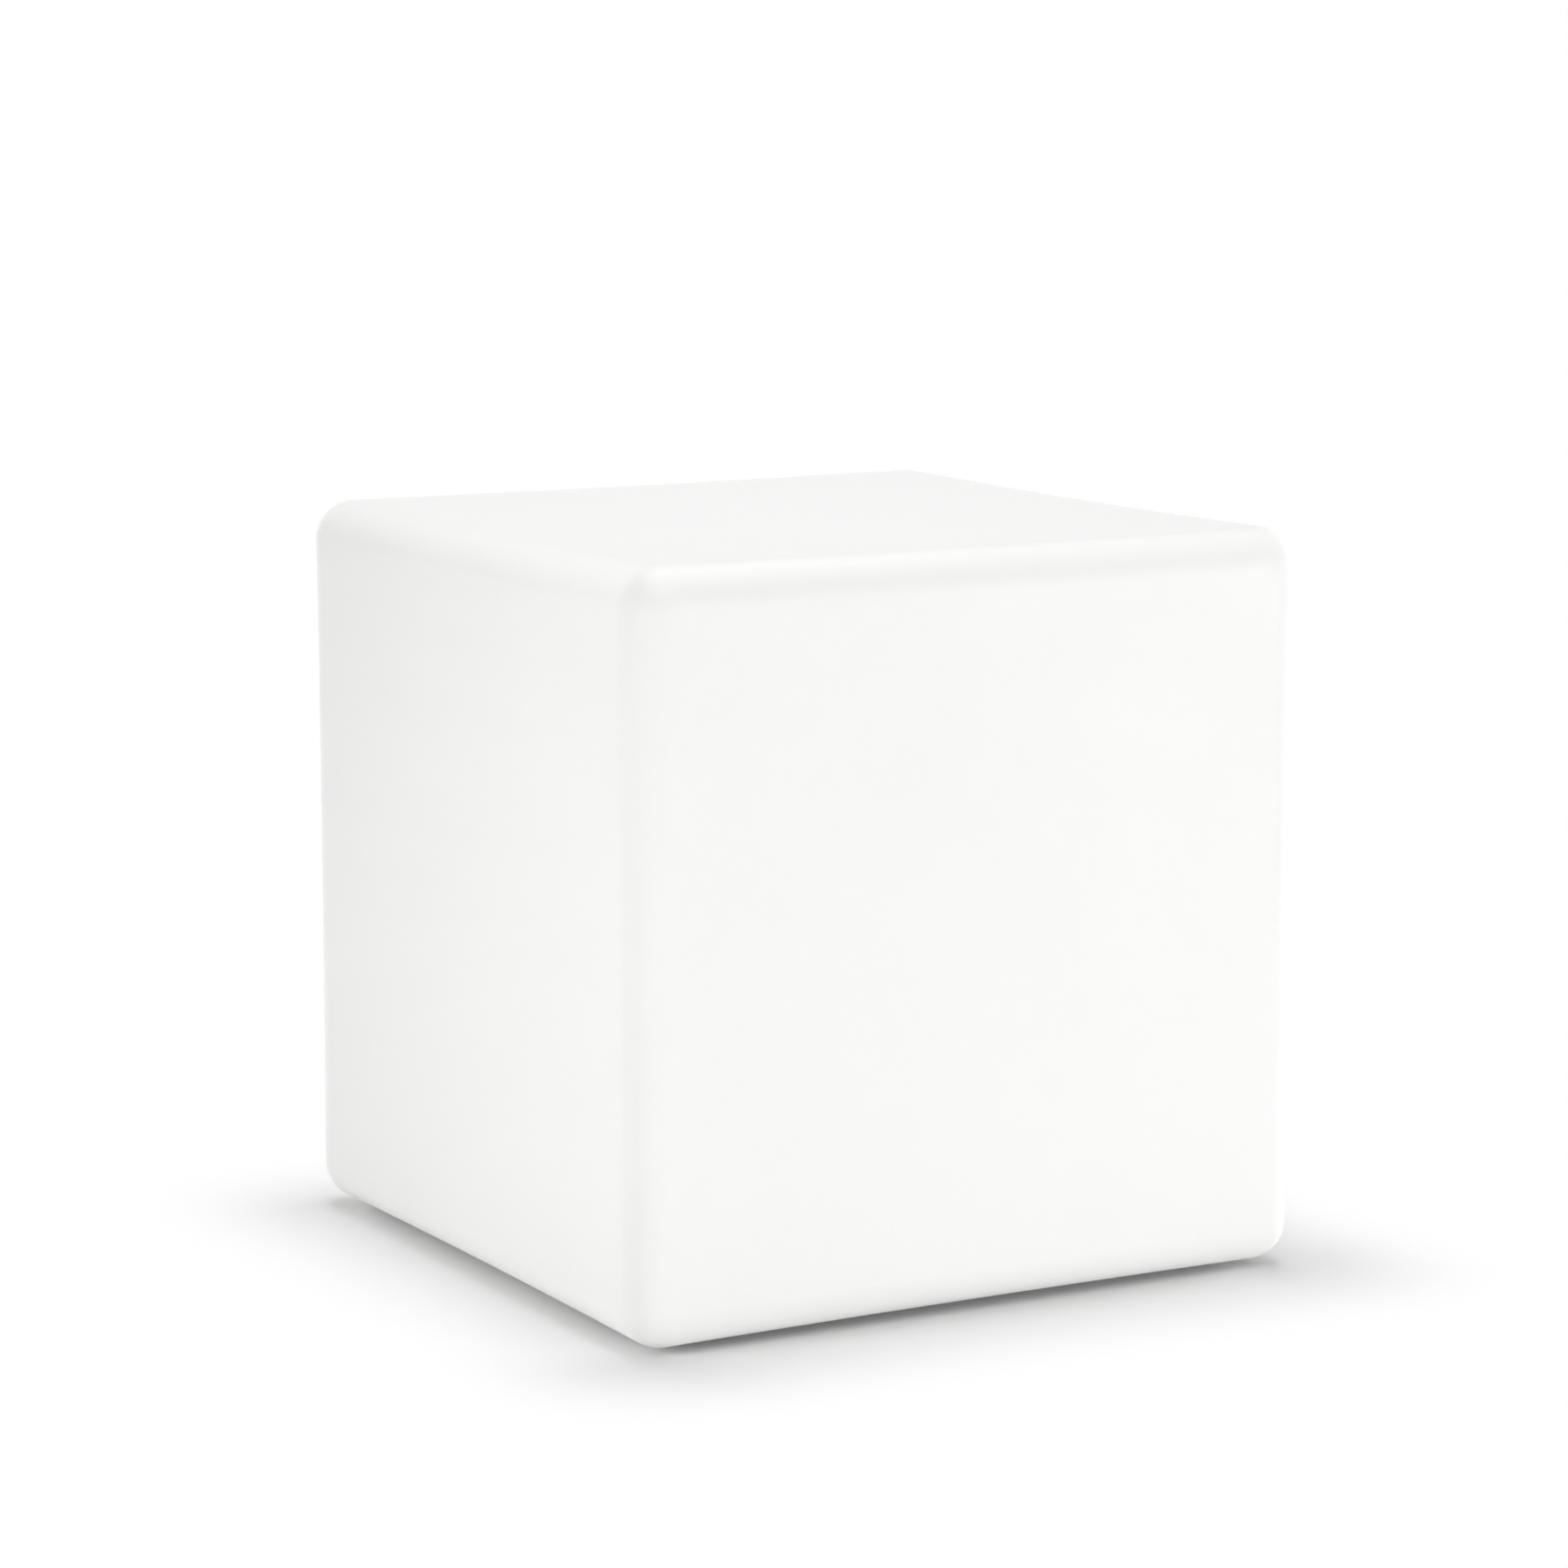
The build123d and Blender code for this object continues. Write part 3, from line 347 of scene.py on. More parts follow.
def add_underside(bm, form, pockets):
    """Flat part of the underside: a net of triangles between the rounded edge and the round openings.

    Its points are those of the bottom face's grid, outside the openings, and the openings' circles. They are
    joined by a Delaunay net that keeps the outlines as edges, and triangles inside an opening are dropped.
    """
    sizes = form.sizes
    bottom = form.face(2, -1)
    count = form.flat_cells + 1
    first = form.arc_cells
    flat = bottom[first : first + count, first : first + count]
    rim = np.concatenate([flat[0, :-1], flat[:-1, -1], flat[-1, :0:-1], flat[:0:-1, 0]])
    grow = sizes.pocket_round + form.collar
    openings = [(np.zeros(2), sizes.well_radius + sizes.pad_width + grow, form.well_steps)]
    openings += [(np.array(centre[:2]), radius + grow, form.pocket_steps) for centre, radius, *_ in pockets]
    inner = flat[1:-1, 1:-1].reshape(-1, 3)
    clear = np.ones(len(inner), dtype=bool)
    for centre, radius, _ in openings:
        clear &= np.linalg.norm(inner[:, :2] - centre, axis=1) > radius + 3 * MM
    outlines = [rim]
    for centre, radius, steps in openings:
        spots = circle(centre, radius, steps)
        outlines.append(np.column_stack([spots, form.under_level(spots)]))
    points = np.concatenate(outlines + [inner[clear]])
    edges = []
    start = 0
    for outline in outlines:
        index = np.arange(len(outline))
        edges += np.column_stack([start + index, start + np.roll(index, -1)]).tolist()
        start += len(outline)
    spots = [Vector(point) for point in points[:, :2]]
    net = delaunay_2d_cdt(spots, edges, [], 1, 1e-7)
    triangles = np.array(net[2])
    origin = np.array([group[0] for group in net[3]])
    middles = points[origin[triangles]].mean(axis=1)[:, :2]
    keep = np.ones(len(triangles), dtype=bool)
    for centre, radius, _ in openings:
        keep &= np.linalg.norm(middles - centre, axis=1) > radius - 0.05 * MM
    add_faces(bm, points[origin], triangles[keep])
    cells = grid_faces(*bottom.shape[:2])
    row, column = np.divmod(cells[:, 0], bottom.shape[1])
    last = first + form.flat_cells
    inside = (row >= first) & (row < last) & (column >= first) & (column < last)
    add_faces(bm, bottom, cells[~inside])


def add_well(bm, form):
    """Round well: flat ring, rounded mouth, wall, rounded corner, ceiling and neck opening."""
    sizes = form.sizes
    soft, bead, corner, lip = sizes.pocket_round, form.pad_round, form.well_corner, form.neck_round
    well, neck, mouth = sizes.well_radius, sizes.neck_radius, sizes.well_round
    outer = well + sizes.pad_width
    surface = float(form.under_level(np.array([outer + soft, 0])))
    pad = surface + form.pad_rise
    ceiling = form.low + sizes.well_depth
    edge = outer + soft + form.collar
    profile = [(edge, form.under_level(circle((0, 0), edge, form.well_steps)))]
    profile += quarter((outer + soft, surface), (outer, surface + bead), True)
    profile += quarter((outer, pad - bead), (outer - bead, pad), False)
    profile += quarter((well + mouth, pad), (well, pad + mouth), True)
    profile += quarter((well, ceiling - corner), (well - corner, ceiling), False)
    profile += [(neck + 2 * lip, ceiling)]
    profile += quarter((neck + lip, ceiling), (neck, ceiling + lip), True)
    add_lathe(bm, (0, 0), profile, form.well_steps)


def add_pocket(bm, form, centre, radius, seat, bore, top):
    """Round pocket with a soft mouth, a flat seat and a closed bore in its middle."""
    soft = form.sizes.pocket_round
    mouth = form.under_level(circle(centre, radius + soft, form.pocket_steps))
    edge = radius + soft + form.collar
    profile = [(edge, form.under_level(circle(centre, edge, form.pocket_steps)))]
    profile += quarter((radius + soft, mouth), (radius, mouth + soft), True)
    turn, lip = form.seat_round, form.bore_round
    profile += quarter((radius, seat - turn), (radius - turn, seat), False)
    profile += [(bore + lip, seat), (bore, seat + lip), (bore, top - lip), (bore - lip, top), (0.0, top)]
    add_lathe(bm, centre, profile, form.pocket_steps)


class LAMP_OT_shell(bpy.types.Operator):
    """Mould the cube in one piece, with its well, its pockets and its wall"""

    bl_idname = "lamp.shell"
    bl_label = "Moulded shell"

    def execute(self, context):
        form = ShellForm(context.scene.lamp_shell)
        pockets = foot_pockets()
        bm = bmesh.new()
        for axis, side in ((0, -1), (0, 1), (1, -1), (1, 1), (2, 1)):
            points = form.face(axis, side)
            add_faces(bm, points, grid_faces(*points.shape[:2]))
        add_underside(bm, form, pockets)
        add_well(bm, form)
        for pocket in pockets:
            add_pocket(bm, form, *pocket)
        close_seams(bm, 0.03 * MM)
        top = max(bm.faces, key=lambda face: face.calc_center_median().z)
        if top.normal.z < 0:
            bmesh.ops.reverse_faces(bm, faces=bm.faces)
        shell = new_piece("moulded_cube", bm, "lamp", "milky_polyethylene")
        wall = shell.modifiers.new("Wall", "SOLIDIFY")
        wall.thickness = form.sizes.wall
        wall.offset = -1
        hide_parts("shell")
        return {"FINISHED"}


# Feet


class LAMP_OT_feet(bpy.types.Operator):
    """Mould the four rubber feet, with grip grooves and a hole for the screw"""

    bl_idname = "lamp.feet"
    bl_label = "Rubber feet"

    groove_pitch = 3 * MM
    groove_width = 1.2 * MM
    groove_lip = 0.15 * MM
    first_groove = 6.2 * MM
    screw_hole = 2.3 * MM
    head_hole = 4.5 * MM
    head_seat = 4.2 * MM
    mouth_round = 0.5 * MM
    top_round = 0.2 * MM

    def foot_profile(self, radius, height, sizes):
        """Half section of a foot, from its screw hole round the outside and back to its seat."""
        depth, lip, hole = sizes.foot_groove, self.groove_lip, self.screw_hole
        recess, mouth = self.head_hole, self.mouth_round
        profile = [(hole, height), (hole, self.head_seat), (recess, self.head_seat)]
        profile += quarter((recess, mouth), (recess + mouth, 0.0), False)
        edge = self.first_groove
        while edge + self.groove_width < radius - sizes.foot_rounding:
            far = edge + self.groove_width
            profile += [(edge, 0.0), (edge + lip, 0.1 * MM), (edge + 2 * lip, depth)]
            profile += [(edge + self.groove_width / 2, depth * 1.15), (far - 2 * lip, depth)]
            profile += [(far - lip, 0.1 * MM), (far, 0.0)]
            edge += self.groove_pitch
        profile += quarter((radius - sizes.foot_rounding, 0.0), (radius, sizes.foot_rounding), True)
        profile += [(radius, height - self.top_round), (radius - self.top_round, height), (hole, height)]
        return profile

    def execute(self, context):
        sizes = context.scene.lamp_base
        for corner in CORNERS:
            low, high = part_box("foot_" + corner)
            bm = bmesh.new()
            profile = self.foot_profile((high.x - low.x) / 2, high.z - 0.02 * MM, sizes)
            add_lathe(bm, (low + high) / 2, profile, 96)
            close_seams(bm, 0.01 * MM)
            foot = new_piece("rubber_" + corner, bm, "lamp", "grey_rubber")
            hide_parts("foot_" + corner)
        return {"FINISHED"}


# Marks on the base


def add_ridge(bm, path, width, base, height):
    """Low rounded ridge along a flat path, hanging down from a level.

    Its section is half an ellipse of the given width and height, set square to the path at each of its
    points. Both ends are drawn in to a point.
    """
    path = np.asarray(path, dtype=float)
    along = np.gradient(path, axis=0)
    along /= np.linalg.norm(along, axis=1, keepdims=True)
    side = np.stack([-along[:, 1], along[:, 0]], axis=-1)
    turn = np.linspace(0, math.pi, 7)
    swell = np.ones(len(path))
    swell[[0, -1]] = 0.02
    swell[[1, -2]] = 0.8
    offset = swell[:, None] * np.cos(turn) * width / 2
    spots = path[:, None, :] + offset[..., None] * side[:, None, :]
    levels = base + 0.05 * MM - swell[:, None] * np.sin(turn) * (height + 0.05 * MM)
    points = np.concatenate([spots, levels[..., None]], axis=-1)
    add_faces(bm, points, grid_faces(len(path), len(turn), closed=True))


def arc(centre, radius, start, end, count=28):
    """Points of an arc between two angles in degrees."""
    turn = np.radians(np.linspace(start, end, count))
    return np.stack([centre[0] + radius * np.cos(turn), centre[1] + radius * np.sin(turn)], axis=-1)


def line(start, end, count=8):
    """Points along a straight line."""
    return np.linspace(start, end, count)


class LAMP_OT_marks(bpy.types.Operator):
    """Raise the marks on the base plate: one for each button, one for the battery, a rim and grip ribs"""

    bl_idname = "lamp.marks"
    bl_label = "Marks on the base"

    row_gap = 6.5 * MM
    bead_inset = 3.2 * MM
    rib_count = 4
    rib_pitch = 1.5 * MM
    rib_start = 1.8 * MM

    def execute(self, context):
        sizes = context.scene.lamp_base
        radius, width, height = sizes.mark_size, sizes.mark_width, sizes.mark_height
        level = PLATE_LOW.z + GUARD_HEIGHT
        power_box, mode_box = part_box("power_button"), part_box("mode_button")
        row = power_box[0].y - self.row_gap
        power_place = np.array([(power_box[0].x + power_box[1].x) / 2, row])
        mode_place = np.array([(mode_box[0].x + mode_box[1].x) / 2, row])
        cell = np.array([0, row])
        bm = bmesh.new()
        paths = [arc(power_place, radius, 125, 415), line(power_place, power_place + (0, radius * 1.25))]
        paths.append(arc(mode_place, radius * 0.45, 0, 359, 20))
        for turn in np.radians(np.arange(8) * 45):
            ray = np.array([math.cos(turn), math.sin(turn)])
            paths.append(line(mode_place + ray * radius * 0.75, mode_place + ray * radius * 1.15, 5))
        x, y = radius * 1.3, radius * 0.65
        corners = [(-x, -y), (x, -y), (x, y), (-x, y), (-x, -y)]
        paths += [line(cell + start, cell + end) for start, end in zip(corners, corners[1:])]
        paths.append(line(cell + (x * 1.25, -y * 0.45), cell + (x * 1.25, y * 0.45), 6))
        for path in paths:
            add_ridge(bm, path, width, level, height)
        bead = (PLATE_HIGH.x - PLATE_LOW.x) / 2 - self.bead_inset
        turn = np.linspace(0, math.pi, 7)
        rings = [(bead + 0.5 * MM * math.cos(a), level + 0.05 * MM - 0.35 * MM * math.sin(a)) for a in turn]
        add_lathe(bm, (0, 0), rings + rings[:1], 180)
        close_seams(bm, 0.001 * MM)
        new_piece("base_marks", bm, "lamp", "white_base_plastic")
        bm = bmesh.new()
        reach = (COVER_HIGH.x - COVER_LOW.x) / 2 - 7 * MM
        for step in range(self.rib_count):
            y = COVER_LOW.y + self.rib_start + self.rib_pitch * step
            add_ridge(bm, line((-reach, y), (reach, y), 12), 0.8 * MM, COVER_LOW.z, 0.18 * MM)
        close_seams(bm, 0.001 * MM)
        new_piece("cover_grip_ribs", bm, "port_cover", "white_base_plastic")
        return {"FINISHED"}


# Finishes


def feed(node, values):
    """Set a node's inputs to values, or link them to other nodes' outputs."""
    for key, value in values.items():
        if isinstance(value, bpy.types.NodeSocket):
            node.id_data.links.new(value, node.inputs[key])
        else:
            node.inputs[key].default_value = value


def add_node(tree, kind, values, **settings):
    """Add a node with its settings, and feed its inputs."""
    node = tree.nodes.new("ShaderNode" + kind)
    for key, value in settings.items():
        setattr(node, key, value)
    feed(node, values)
    return node


def start_finish(name, **values):
    """New material, its node tree, its shader with plain values set, and its object coordinates in metres."""
    material = bpy.data.materials.new(name)
    material.use_nodes = True
    tree = material.node_tree
    shader = tree.nodes["Principled BSDF"]
    feed(shader, {key.replace("_", " "): value for key, value in values.items()})
    return material, tree, shader, add_node(tree, "TexCoord", {}).outputs["Object"]


def shade(base, share):
    """Colour with alpha, made lighter or darker by a share."""
    return (*(min(1.0, value * share) for value in base), 1.0)


def per_metre(size):
    """Scale of a pattern whose bumps are a size across, in millimetres."""
    return 1 / (size * MM)


def dress(tree, shader, tint, gloss, relief=None):
    """Let patterns drive a shader's colour, roughness and relief.

    tint is a pattern and the two colours that it mixes, gloss is a pattern and the roughness at its two
    ends, and relief is a pattern and the height of its bumps. Gives back the relief's node.
    """
    mixed = add_node(tree, "Mix", {0: tint[0], 6: tint[1], 7: tint[2]}, data_type="RGBA")
    spread = add_node(tree, "MapRange", {"Value": gloss[0], "To Min": gloss[1], "To Max": gloss[2]})
    feed(shader, {"Base Color": mixed.outputs[2], "Roughness": spread.outputs[0]})
    if relief is None:
        return None
    bumps = add_node(tree, "Bump", {"Height": relief[0], "Distance": relief[1]})
    feed(shader, {"Normal": bumps.outputs[0]})
    return bumps


def plain(code):
    """Colour with alpha of an sRGB hex colour."""
    return shade(srgb(code), 1)


def cloud(where, size, detail):
    """Inputs of a noise whose patches are a size across, in millimetres."""
    return {"Vector": where, "Scale": per_metre(size), "Detail": detail}


def moulded_polyethylene():
    """Rotationally moulded polyethylene: milky and waxy, light soaks in a little, with a soft orange peel."""
    base = bpy.context.scene.lamp_finish.shell
    material, tree, shader, where = start_finish("moulded_polyethylene", IOR=1.51, Subsurface_Weight=0.35)
    feed(shader, {"Subsurface Radius": (1.0, 0.95, 0.9), "Subsurface Scale": 1.6 * MM})
    drift = add_node(tree, "TexNoise", cloud(where, 70, 2.0)).outputs[0]
    peel = add_node(tree, "TexNoise", cloud(where, 2.6, 1.5)).outputs[0]
    grain = add_node(tree, "TexNoise", cloud(where, 0.5, 2.0)).outputs[0]
    fine = add_node(tree, "Bump", {"Height": grain, "Distance": 0.004 * MM})
    tint = (drift, shade(base, 0.992), shade(base, 1.008))
    coarse = dress(tree, shader, tint, (drift, 0.50, 0.60), (peel, 0.03 * MM))
    feed(coarse, {"Normal": fine.outputs[0]})
    return material


def moulded_rubber():
    """Compression moulded rubber: dark, matt, with a pale dusty bloom in patches and a fine grain."""
    base = bpy.context.scene.lamp_finish.feet
    material, tree, shader, where = start_finish("moulded_grey_rubber", IOR=1.52)
    bloom = add_node(tree, "TexNoise", cloud(where, 6, 4.0)).outputs[0]
    grain = add_node(tree, "TexNoise", cloud(where, 0.45, 2.0)).outputs[0]
    tint = (bloom, shade(base, 0.85), shade(base, 1.25))
    dress(tree, shader, tint, (bloom, 0.66, 0.88), (grain, 0.02 * MM))
    return material


def cord_rubber():
    """Extruded nitrile rubber: nearly black, slightly oily, with fine draw lines."""
    material, tree, shader, where = start_finish("nitrile_cord_rubber", IOR=1.52)
    speck = add_node(tree, "TexNoise", cloud(where, 1.2, 3.0)).outputs[0]
    tint = (speck, plain("1B1B1C"), plain("2A2A2B"))
    dress(tree, shader, tint, (speck, 0.42, 0.62), (speck, 0.01 * MM))
    return material


def cast_silicone():
    """Moulded silicone: off white, soft sheen, light soaks in, and it picks up a little dust."""
    base = bpy.context.scene.lamp_finish.silicone
    material, tree, shader, where = start_finish("moulded_white_silicone", IOR=1.41, Subsurface_Weight=0.3)
    feed(shader, {"Subsurface Radius": (1.0, 0.9, 0.8), "Subsurface Scale": 1.0 * MM, "Sheen Weight": 0.15})
    dust = add_node(tree, "TexNoise", cloud(where, 4, 5.0)).outputs[0]
    tint = (dust, shade(base, 0.93), shade(base, 1.04))
    dress(tree, shader, tint, (dust, 0.50, 0.68), (dust, 0.015 * MM))
    return material


def sparked_plastic(name, base, grain, rough):
    """Injection moulded ABS from a spark-eroded mould: satin, with an even grain of small rounded pits."""
    material, tree, shader, where = start_finish(name, IOR=1.53)
    spots = {"Vector": where, "Scale": per_metre(grain)}
    pits = add_node(tree, "TexVoronoi", spots, feature="SMOOTH_F1").outputs[0]
    drift = add_node(tree, "TexNoise", cloud(where, 25, 3.0)).outputs[0]
    tint = (drift, shade(base, 0.97), shade(base, 1.02))
    dress(tree, shader, tint, (pits, rough - 0.08, rough + 0.08), (pits, 0.02 * MM))
    return material


def base_plastic():
    """ABS of the base unit, with a grain of about half a millimetre."""
    return sparked_plastic("spark_grained_white_abs", bpy.context.scene.lamp_finish.base, 0.5, 0.48)


def button_plastic():
    """ABS of the buttons, with a finer grain that fingers have polished."""
    return sparked_plastic("fine_grained_grey_abs", bpy.context.scene.lamp_finish.buttons, 0.3, 0.40)


def black_nylon():
    """Glass-filled nylon: dull black, with pale fibre ends that show as specks."""
    material, tree, shader, where = start_finish("glass_filled_black_nylon", IOR=1.53)
    fibres = add_node(tree, "TexNoise", cloud(where, 0.35, 4.0)).outputs[0]
    ends = add_node(tree, "MapRange", {"Value": fibres, "From Min": 0.60, "From Max": 0.75}).outputs[0]
    tint = (ends, plain("1E1F21"), plain("3B3D40"))
    dress(tree, shader, tint, (fibres, 0.42, 0.60), (fibres, 0.01 * MM))
    return material


def frosted_polycarbonate():
    """Polycarbonate with bead-blasted faces: lets light through but no picture, with a dull white haze."""
    material, tree, shader, where = start_finish("frosted_polycarbonate", IOR=1.58, Transmission_Weight=0.55)
    haze = add_node(tree, "TexNoise", cloud(where, 0.4, 3.0)).outputs[0]
    tint = (haze, plain("F1F1EF"), plain("F8F8F7"))
    dress(tree, shader, tint, (haze, 0.45, 0.60), (haze, 0.01 * MM))
    return material


def clear_polycarbonate():
    """Clear moulded polycarbonate rod with polished ends: glassy, with slight flow ripples."""
    material, tree, shader, where = start_finish("clear_polycarbonate", IOR=1.58, Transmission_Weight=0.92)
    feed(shader, {"Base Color": plain("EFF4F4")})
    flow = add_node(tree, "TexNoise", cloud(where, 1.5, 1.0)).outputs[0]
    gloss = add_node(tree, "MapRange", {"Value": flow, "To Min": 0.03, "To Max": 0.10})
    relief = add_node(tree, "Bump", {"Height": flow, "Distance": 0.01 * MM})
    feed(shader, {"Roughness": gloss.outputs[0], "Normal": relief.outputs[0]})
    return material


def worked_metal(name, code, rough, line_size, stretch):
    """Metal with fine tool lines: a noise drawn out along one direction moves its gloss and relief."""
    material, tree, shader, where = start_finish(name, Metallic=1.0)
    drawn = add_node(tree, "Mapping", {"Vector": where, "Scale": stretch}).outputs[0]
    lines = add_node(tree, "TexNoise", cloud(drawn, line_size, 3.0)).outputs[0]
    tint = (lines, shade(srgb(code), 0.9), shade(srgb(code), 1.06))
    dress(tree, shader, tint, (lines, rough - 0.08, rough + 0.1), (lines, 0.004 * MM))
    return material


def stainless_steel():
    """Cold-headed stainless steel: satin grey, with faint lines round the heads."""
    return worked_metal("satin_stainless_steel", "C6C5C1", 0.30, 0.5, (1.0, 1.0, 6.0))


def turned_brass():
    """Turned brass: warm yellow, with fine rings across its axis."""
    return worked_metal("turned_brass", "D9BE78", 0.26, 0.4, (0.3, 0.3, 5.0))


def rolled_nickel():
    """Rolled nickel strip: slightly warm grey, with lines along its length."""
    return worked_metal("rolled_nickel_strip", "CCC8BE", 0.28, 0.4, (5.0, 0.3, 5.0))


def rolled_aluminium():
    """Rolled aluminium sheet: light grey, with lines along the rolling direction."""
    return worked_metal("rolled_aluminium_sheet", "D2D4D6", 0.36, 0.6, (0.2, 5.0, 5.0))


def drawn_can():
    """Deep-drawn aluminium can: satin, with lines along the draw."""
    return worked_metal("drawn_aluminium_can", "C3C6C8", 0.33, 0.4, (5.0, 5.0, 0.4))


def cell_wrap():
    """Battery cell: glossy shrunk film over steel, with the bare nickel-plated ends left shining."""
    material, tree, shader, where = start_finish("shrunk_film_on_steel_cell", IOR=1.54, Coat_Weight=0.2)
    reach = add_node(tree, "SeparateXYZ", {0: where})
    far = add_node(tree, "Math", {0: reach.outputs[1]}, operation="ABSOLUTE").outputs[0]
    ends = {"Value": far, "From Min": 32.3 * MM, "From Max": 32.4 * MM}
    bare = add_node(tree, "MapRange", ends).outputs[0]
    wrinkle = add_node(tree, "TexNoise", cloud(where, 5, 2.0)).outputs[0]
    blue = {0: wrinkle, 6: plain("6E9FB4"), 7: plain("78AABF")}
    film = add_node(tree, "Mix", blue, data_type="RGBA").outputs[2]
    tint = (bare, film, plain("D0CDC5"))
    dress(tree, shader, tint, (wrinkle, 0.22, 0.36), (wrinkle, 0.05 * MM))
    feed(shader, {"Metallic": bare})
    return material


def circuit_board(name, dark, light, track):
    """Solder resist over copper: tracks stand a little proud and show lighter through the lacquer."""
    material, tree, shader, where = start_finish(name, IOR=1.55)
    black, white = (0.0, 0.0, 0.0, 1.0), (1.0, 1.0, 1.0, 1.0)
    rows = {"Vector": where, "Scale": per_metre(10), "Color1": black, "Color2": black, "Mortar": white}
    rows |= {"Mortar Size": track, "Brick Width": 0.62, "Row Height": 0.18}
    tracks = add_node(tree, "TexBrick", rows).outputs[0]
    lacquer = add_node(tree, "TexNoise", cloud(where, 3, 2.0)).outputs[0]
    tint = (tracks, plain(dark), plain(light))
    dress(tree, shader, tint, (lacquer, 0.28, 0.42), (tracks, 0.03 * MM))
    return material


def green_board():
    """Glass-epoxy board under green solder resist."""
    return circuit_board("green_solder_resist_board", "1F5C3B", "2E7A4F", 0.025)


def white_board():
    """Aluminium-cored board under white solder resist, for the light chips."""
    return circuit_board("white_solder_resist_board", "EDEDEA", "E2E2DE", 0.035)


def light_chip():
    """Light chip: a white ceramic cup whose sunk window is filled with yellow phosphor resin."""
    material, tree, shader, where = start_finish("ceramic_and_phosphor_chip", IOR=1.5)
    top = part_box("led_chips")[1].z
    height = add_node(tree, "SeparateXYZ", {0: where}).outputs[2]
    sunk = {"Value": height, "From Min": top - 0.1 * MM, "From Max": top - 0.2 * MM}
    below = add_node(tree, "MapRange", sunk).outputs[0]
    facing = add_node(tree, "SeparateXYZ", {0: add_node(tree, "NewGeometry", {}).outputs["Normal"]})
    level = {"Value": facing.outputs[2], "From Min": 0.5, "From Max": 0.7}
    upward = add_node(tree, "MapRange", level).outputs[0]
    window = add_node(tree, "Math", {0: below, 1: upward}, operation="MULTIPLY").outputs[0]
    powder = add_node(tree, "TexNoise", cloud(where, 0.3, 3.0)).outputs[0]
    yellow = {0: powder, 6: plain("F2DC8C"), 7: plain("F7E7A6")}
    resin = add_node(tree, "Mix", yellow, data_type="RGBA").outputs[2]
    dress(tree, shader, (window, plain("EFEFEB"), resin), (powder, 0.25, 0.40))
    return material


def natural_nylon():
    """Natural nylon connector: creamy, a little see-through, with a smooth moulded gloss."""
    material, tree, shader, where = start_finish("natural_nylon_connector", IOR=1.53, Subsurface_Weight=0.2)
    feed(shader, {"Subsurface Radius": (1.0, 0.9, 0.7), "Subsurface Scale": 0.8 * MM})
    flow = add_node(tree, "TexNoise", cloud(where, 2, 2.0)).outputs[0]
    dress(tree, shader, (flow, plain("EDE8DA"), plain("F2EEE3")), (flow, 0.30, 0.42))
    return material


def lead_insulation(name, dark, light):
    """Extruded PVC insulation: smooth and slightly waxy, with faint draw marks."""
    material, tree, shader, where = start_finish(name, IOR=1.54)
    draw = add_node(tree, "TexNoise", cloud(where, 0.8, 2.0)).outputs[0]
    tint = (draw, plain(dark), plain(light))
    dress(tree, shader, tint, (draw, 0.30, 0.45), (draw, 0.006 * MM))
    return material


def red_lead():
    """Red insulation of the positive lead."""
    return lead_insulation("red_pvc_insulation", "B3241F", "C12D27")


def black_lead():
    """Black insulation of the other leads."""
    return lead_insulation("black_pvc_insulation", "222223", "2D2D2F")


FINISHES = {
    "milky_polyethylene": moulded_polyethylene,
    "grey_rubber": moulded_rubber,
    "white_silicone": cast_silicone,
    "black_rubber": cord_rubber,
    "white_base_plastic": base_plastic,
    "grey_button_plastic": button_plastic,
    "frosted_polycarbonate": frosted_polycarbonate,
    "stainless_steel": stainless_steel,
    "brass": turned_brass,
    "nickel": rolled_nickel,
    "cell_wrap": cell_wrap,
    "green_board": green_board,
    "white_board": white_board,
    "spreader_aluminium": rolled_aluminium,
    "black_component": black_nylon,
    "capacitor_can": drawn_can,
    "light_chip": light_chip,
    "clear_polycarbonate": clear_polycarbonate,
    "white_connector": natural_nylon,
    "red_lead": red_lead,
    "black_lead": black_lead,
}
made_finishes = {}


def finish_of(slot):
    """Material of a finish, made the first time that a piece asks for it."""
    if slot not in made_finishes:
        made_finishes[slot] = FINISHES[slot]()
    return made_finishes[slot]


class LAMP_OT_finishes(bpy.types.Operator):
    """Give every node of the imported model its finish"""

    bl_idname = "lamp.finishes"
    bl_label = "Finishes"

    def execute(self, context):
        for row in frame["record"]["subparts"]:
            node = frame["nodes"][row["node"]]
            if not node.material_slots:
                raise RuntimeError(row["node"] + " has no material slot")
            for place in node.material_slots:
                place.material = finish_of(row["material_slot"])
        return {"FINISHED"}


# Studio


# Distance from the lamp's footprint over which the paper's painted white glow fades in over the lamp's
# shadow.
PAINTED_GLOW_REACH = 0.12
LIGHTS = {
    "top_light": ((0.25, 0.4, 2.4), 1.8),
    "centre_light": ((0, 0, 2.0), 0.5),
    "front_light": ((1.6, -2.8, 0.3), 0.5),
    "near_light": ((-1.2, -0.35, 0.35), 0.5),
    "high_light": ((-0.5, -1.3, 2.0), 1.2),
    "right_light": ((3.2, 0.4, 0.45), 0.8),
    "rear_light": ((-0.6, 3.0, 0.45), 0.8),
}


def aim(place, target):
    """Placement that looks from a place to a target."""
    turn = (Vector(target) - Vector(place)).to_track_quat("-Z", "Y")
    return Matrix.LocRotScale(Vector(place), turn, None)


def add_soft_light(name, place, target, size, watts):
    """Square soft light that the camera doesn't see."""
    lamp = bpy.data.lights.new(name, "AREA")
    lamp.shape = "SQUARE"
    lamp.size = size
    lamp.energy = watts
    holder = bpy.data.objects.new(name, lamp)
    holder.matrix_world = aim(place, target)
    holder.visible_camera = False
    bpy.context.scene.collection.objects.link(holder)
    return holder


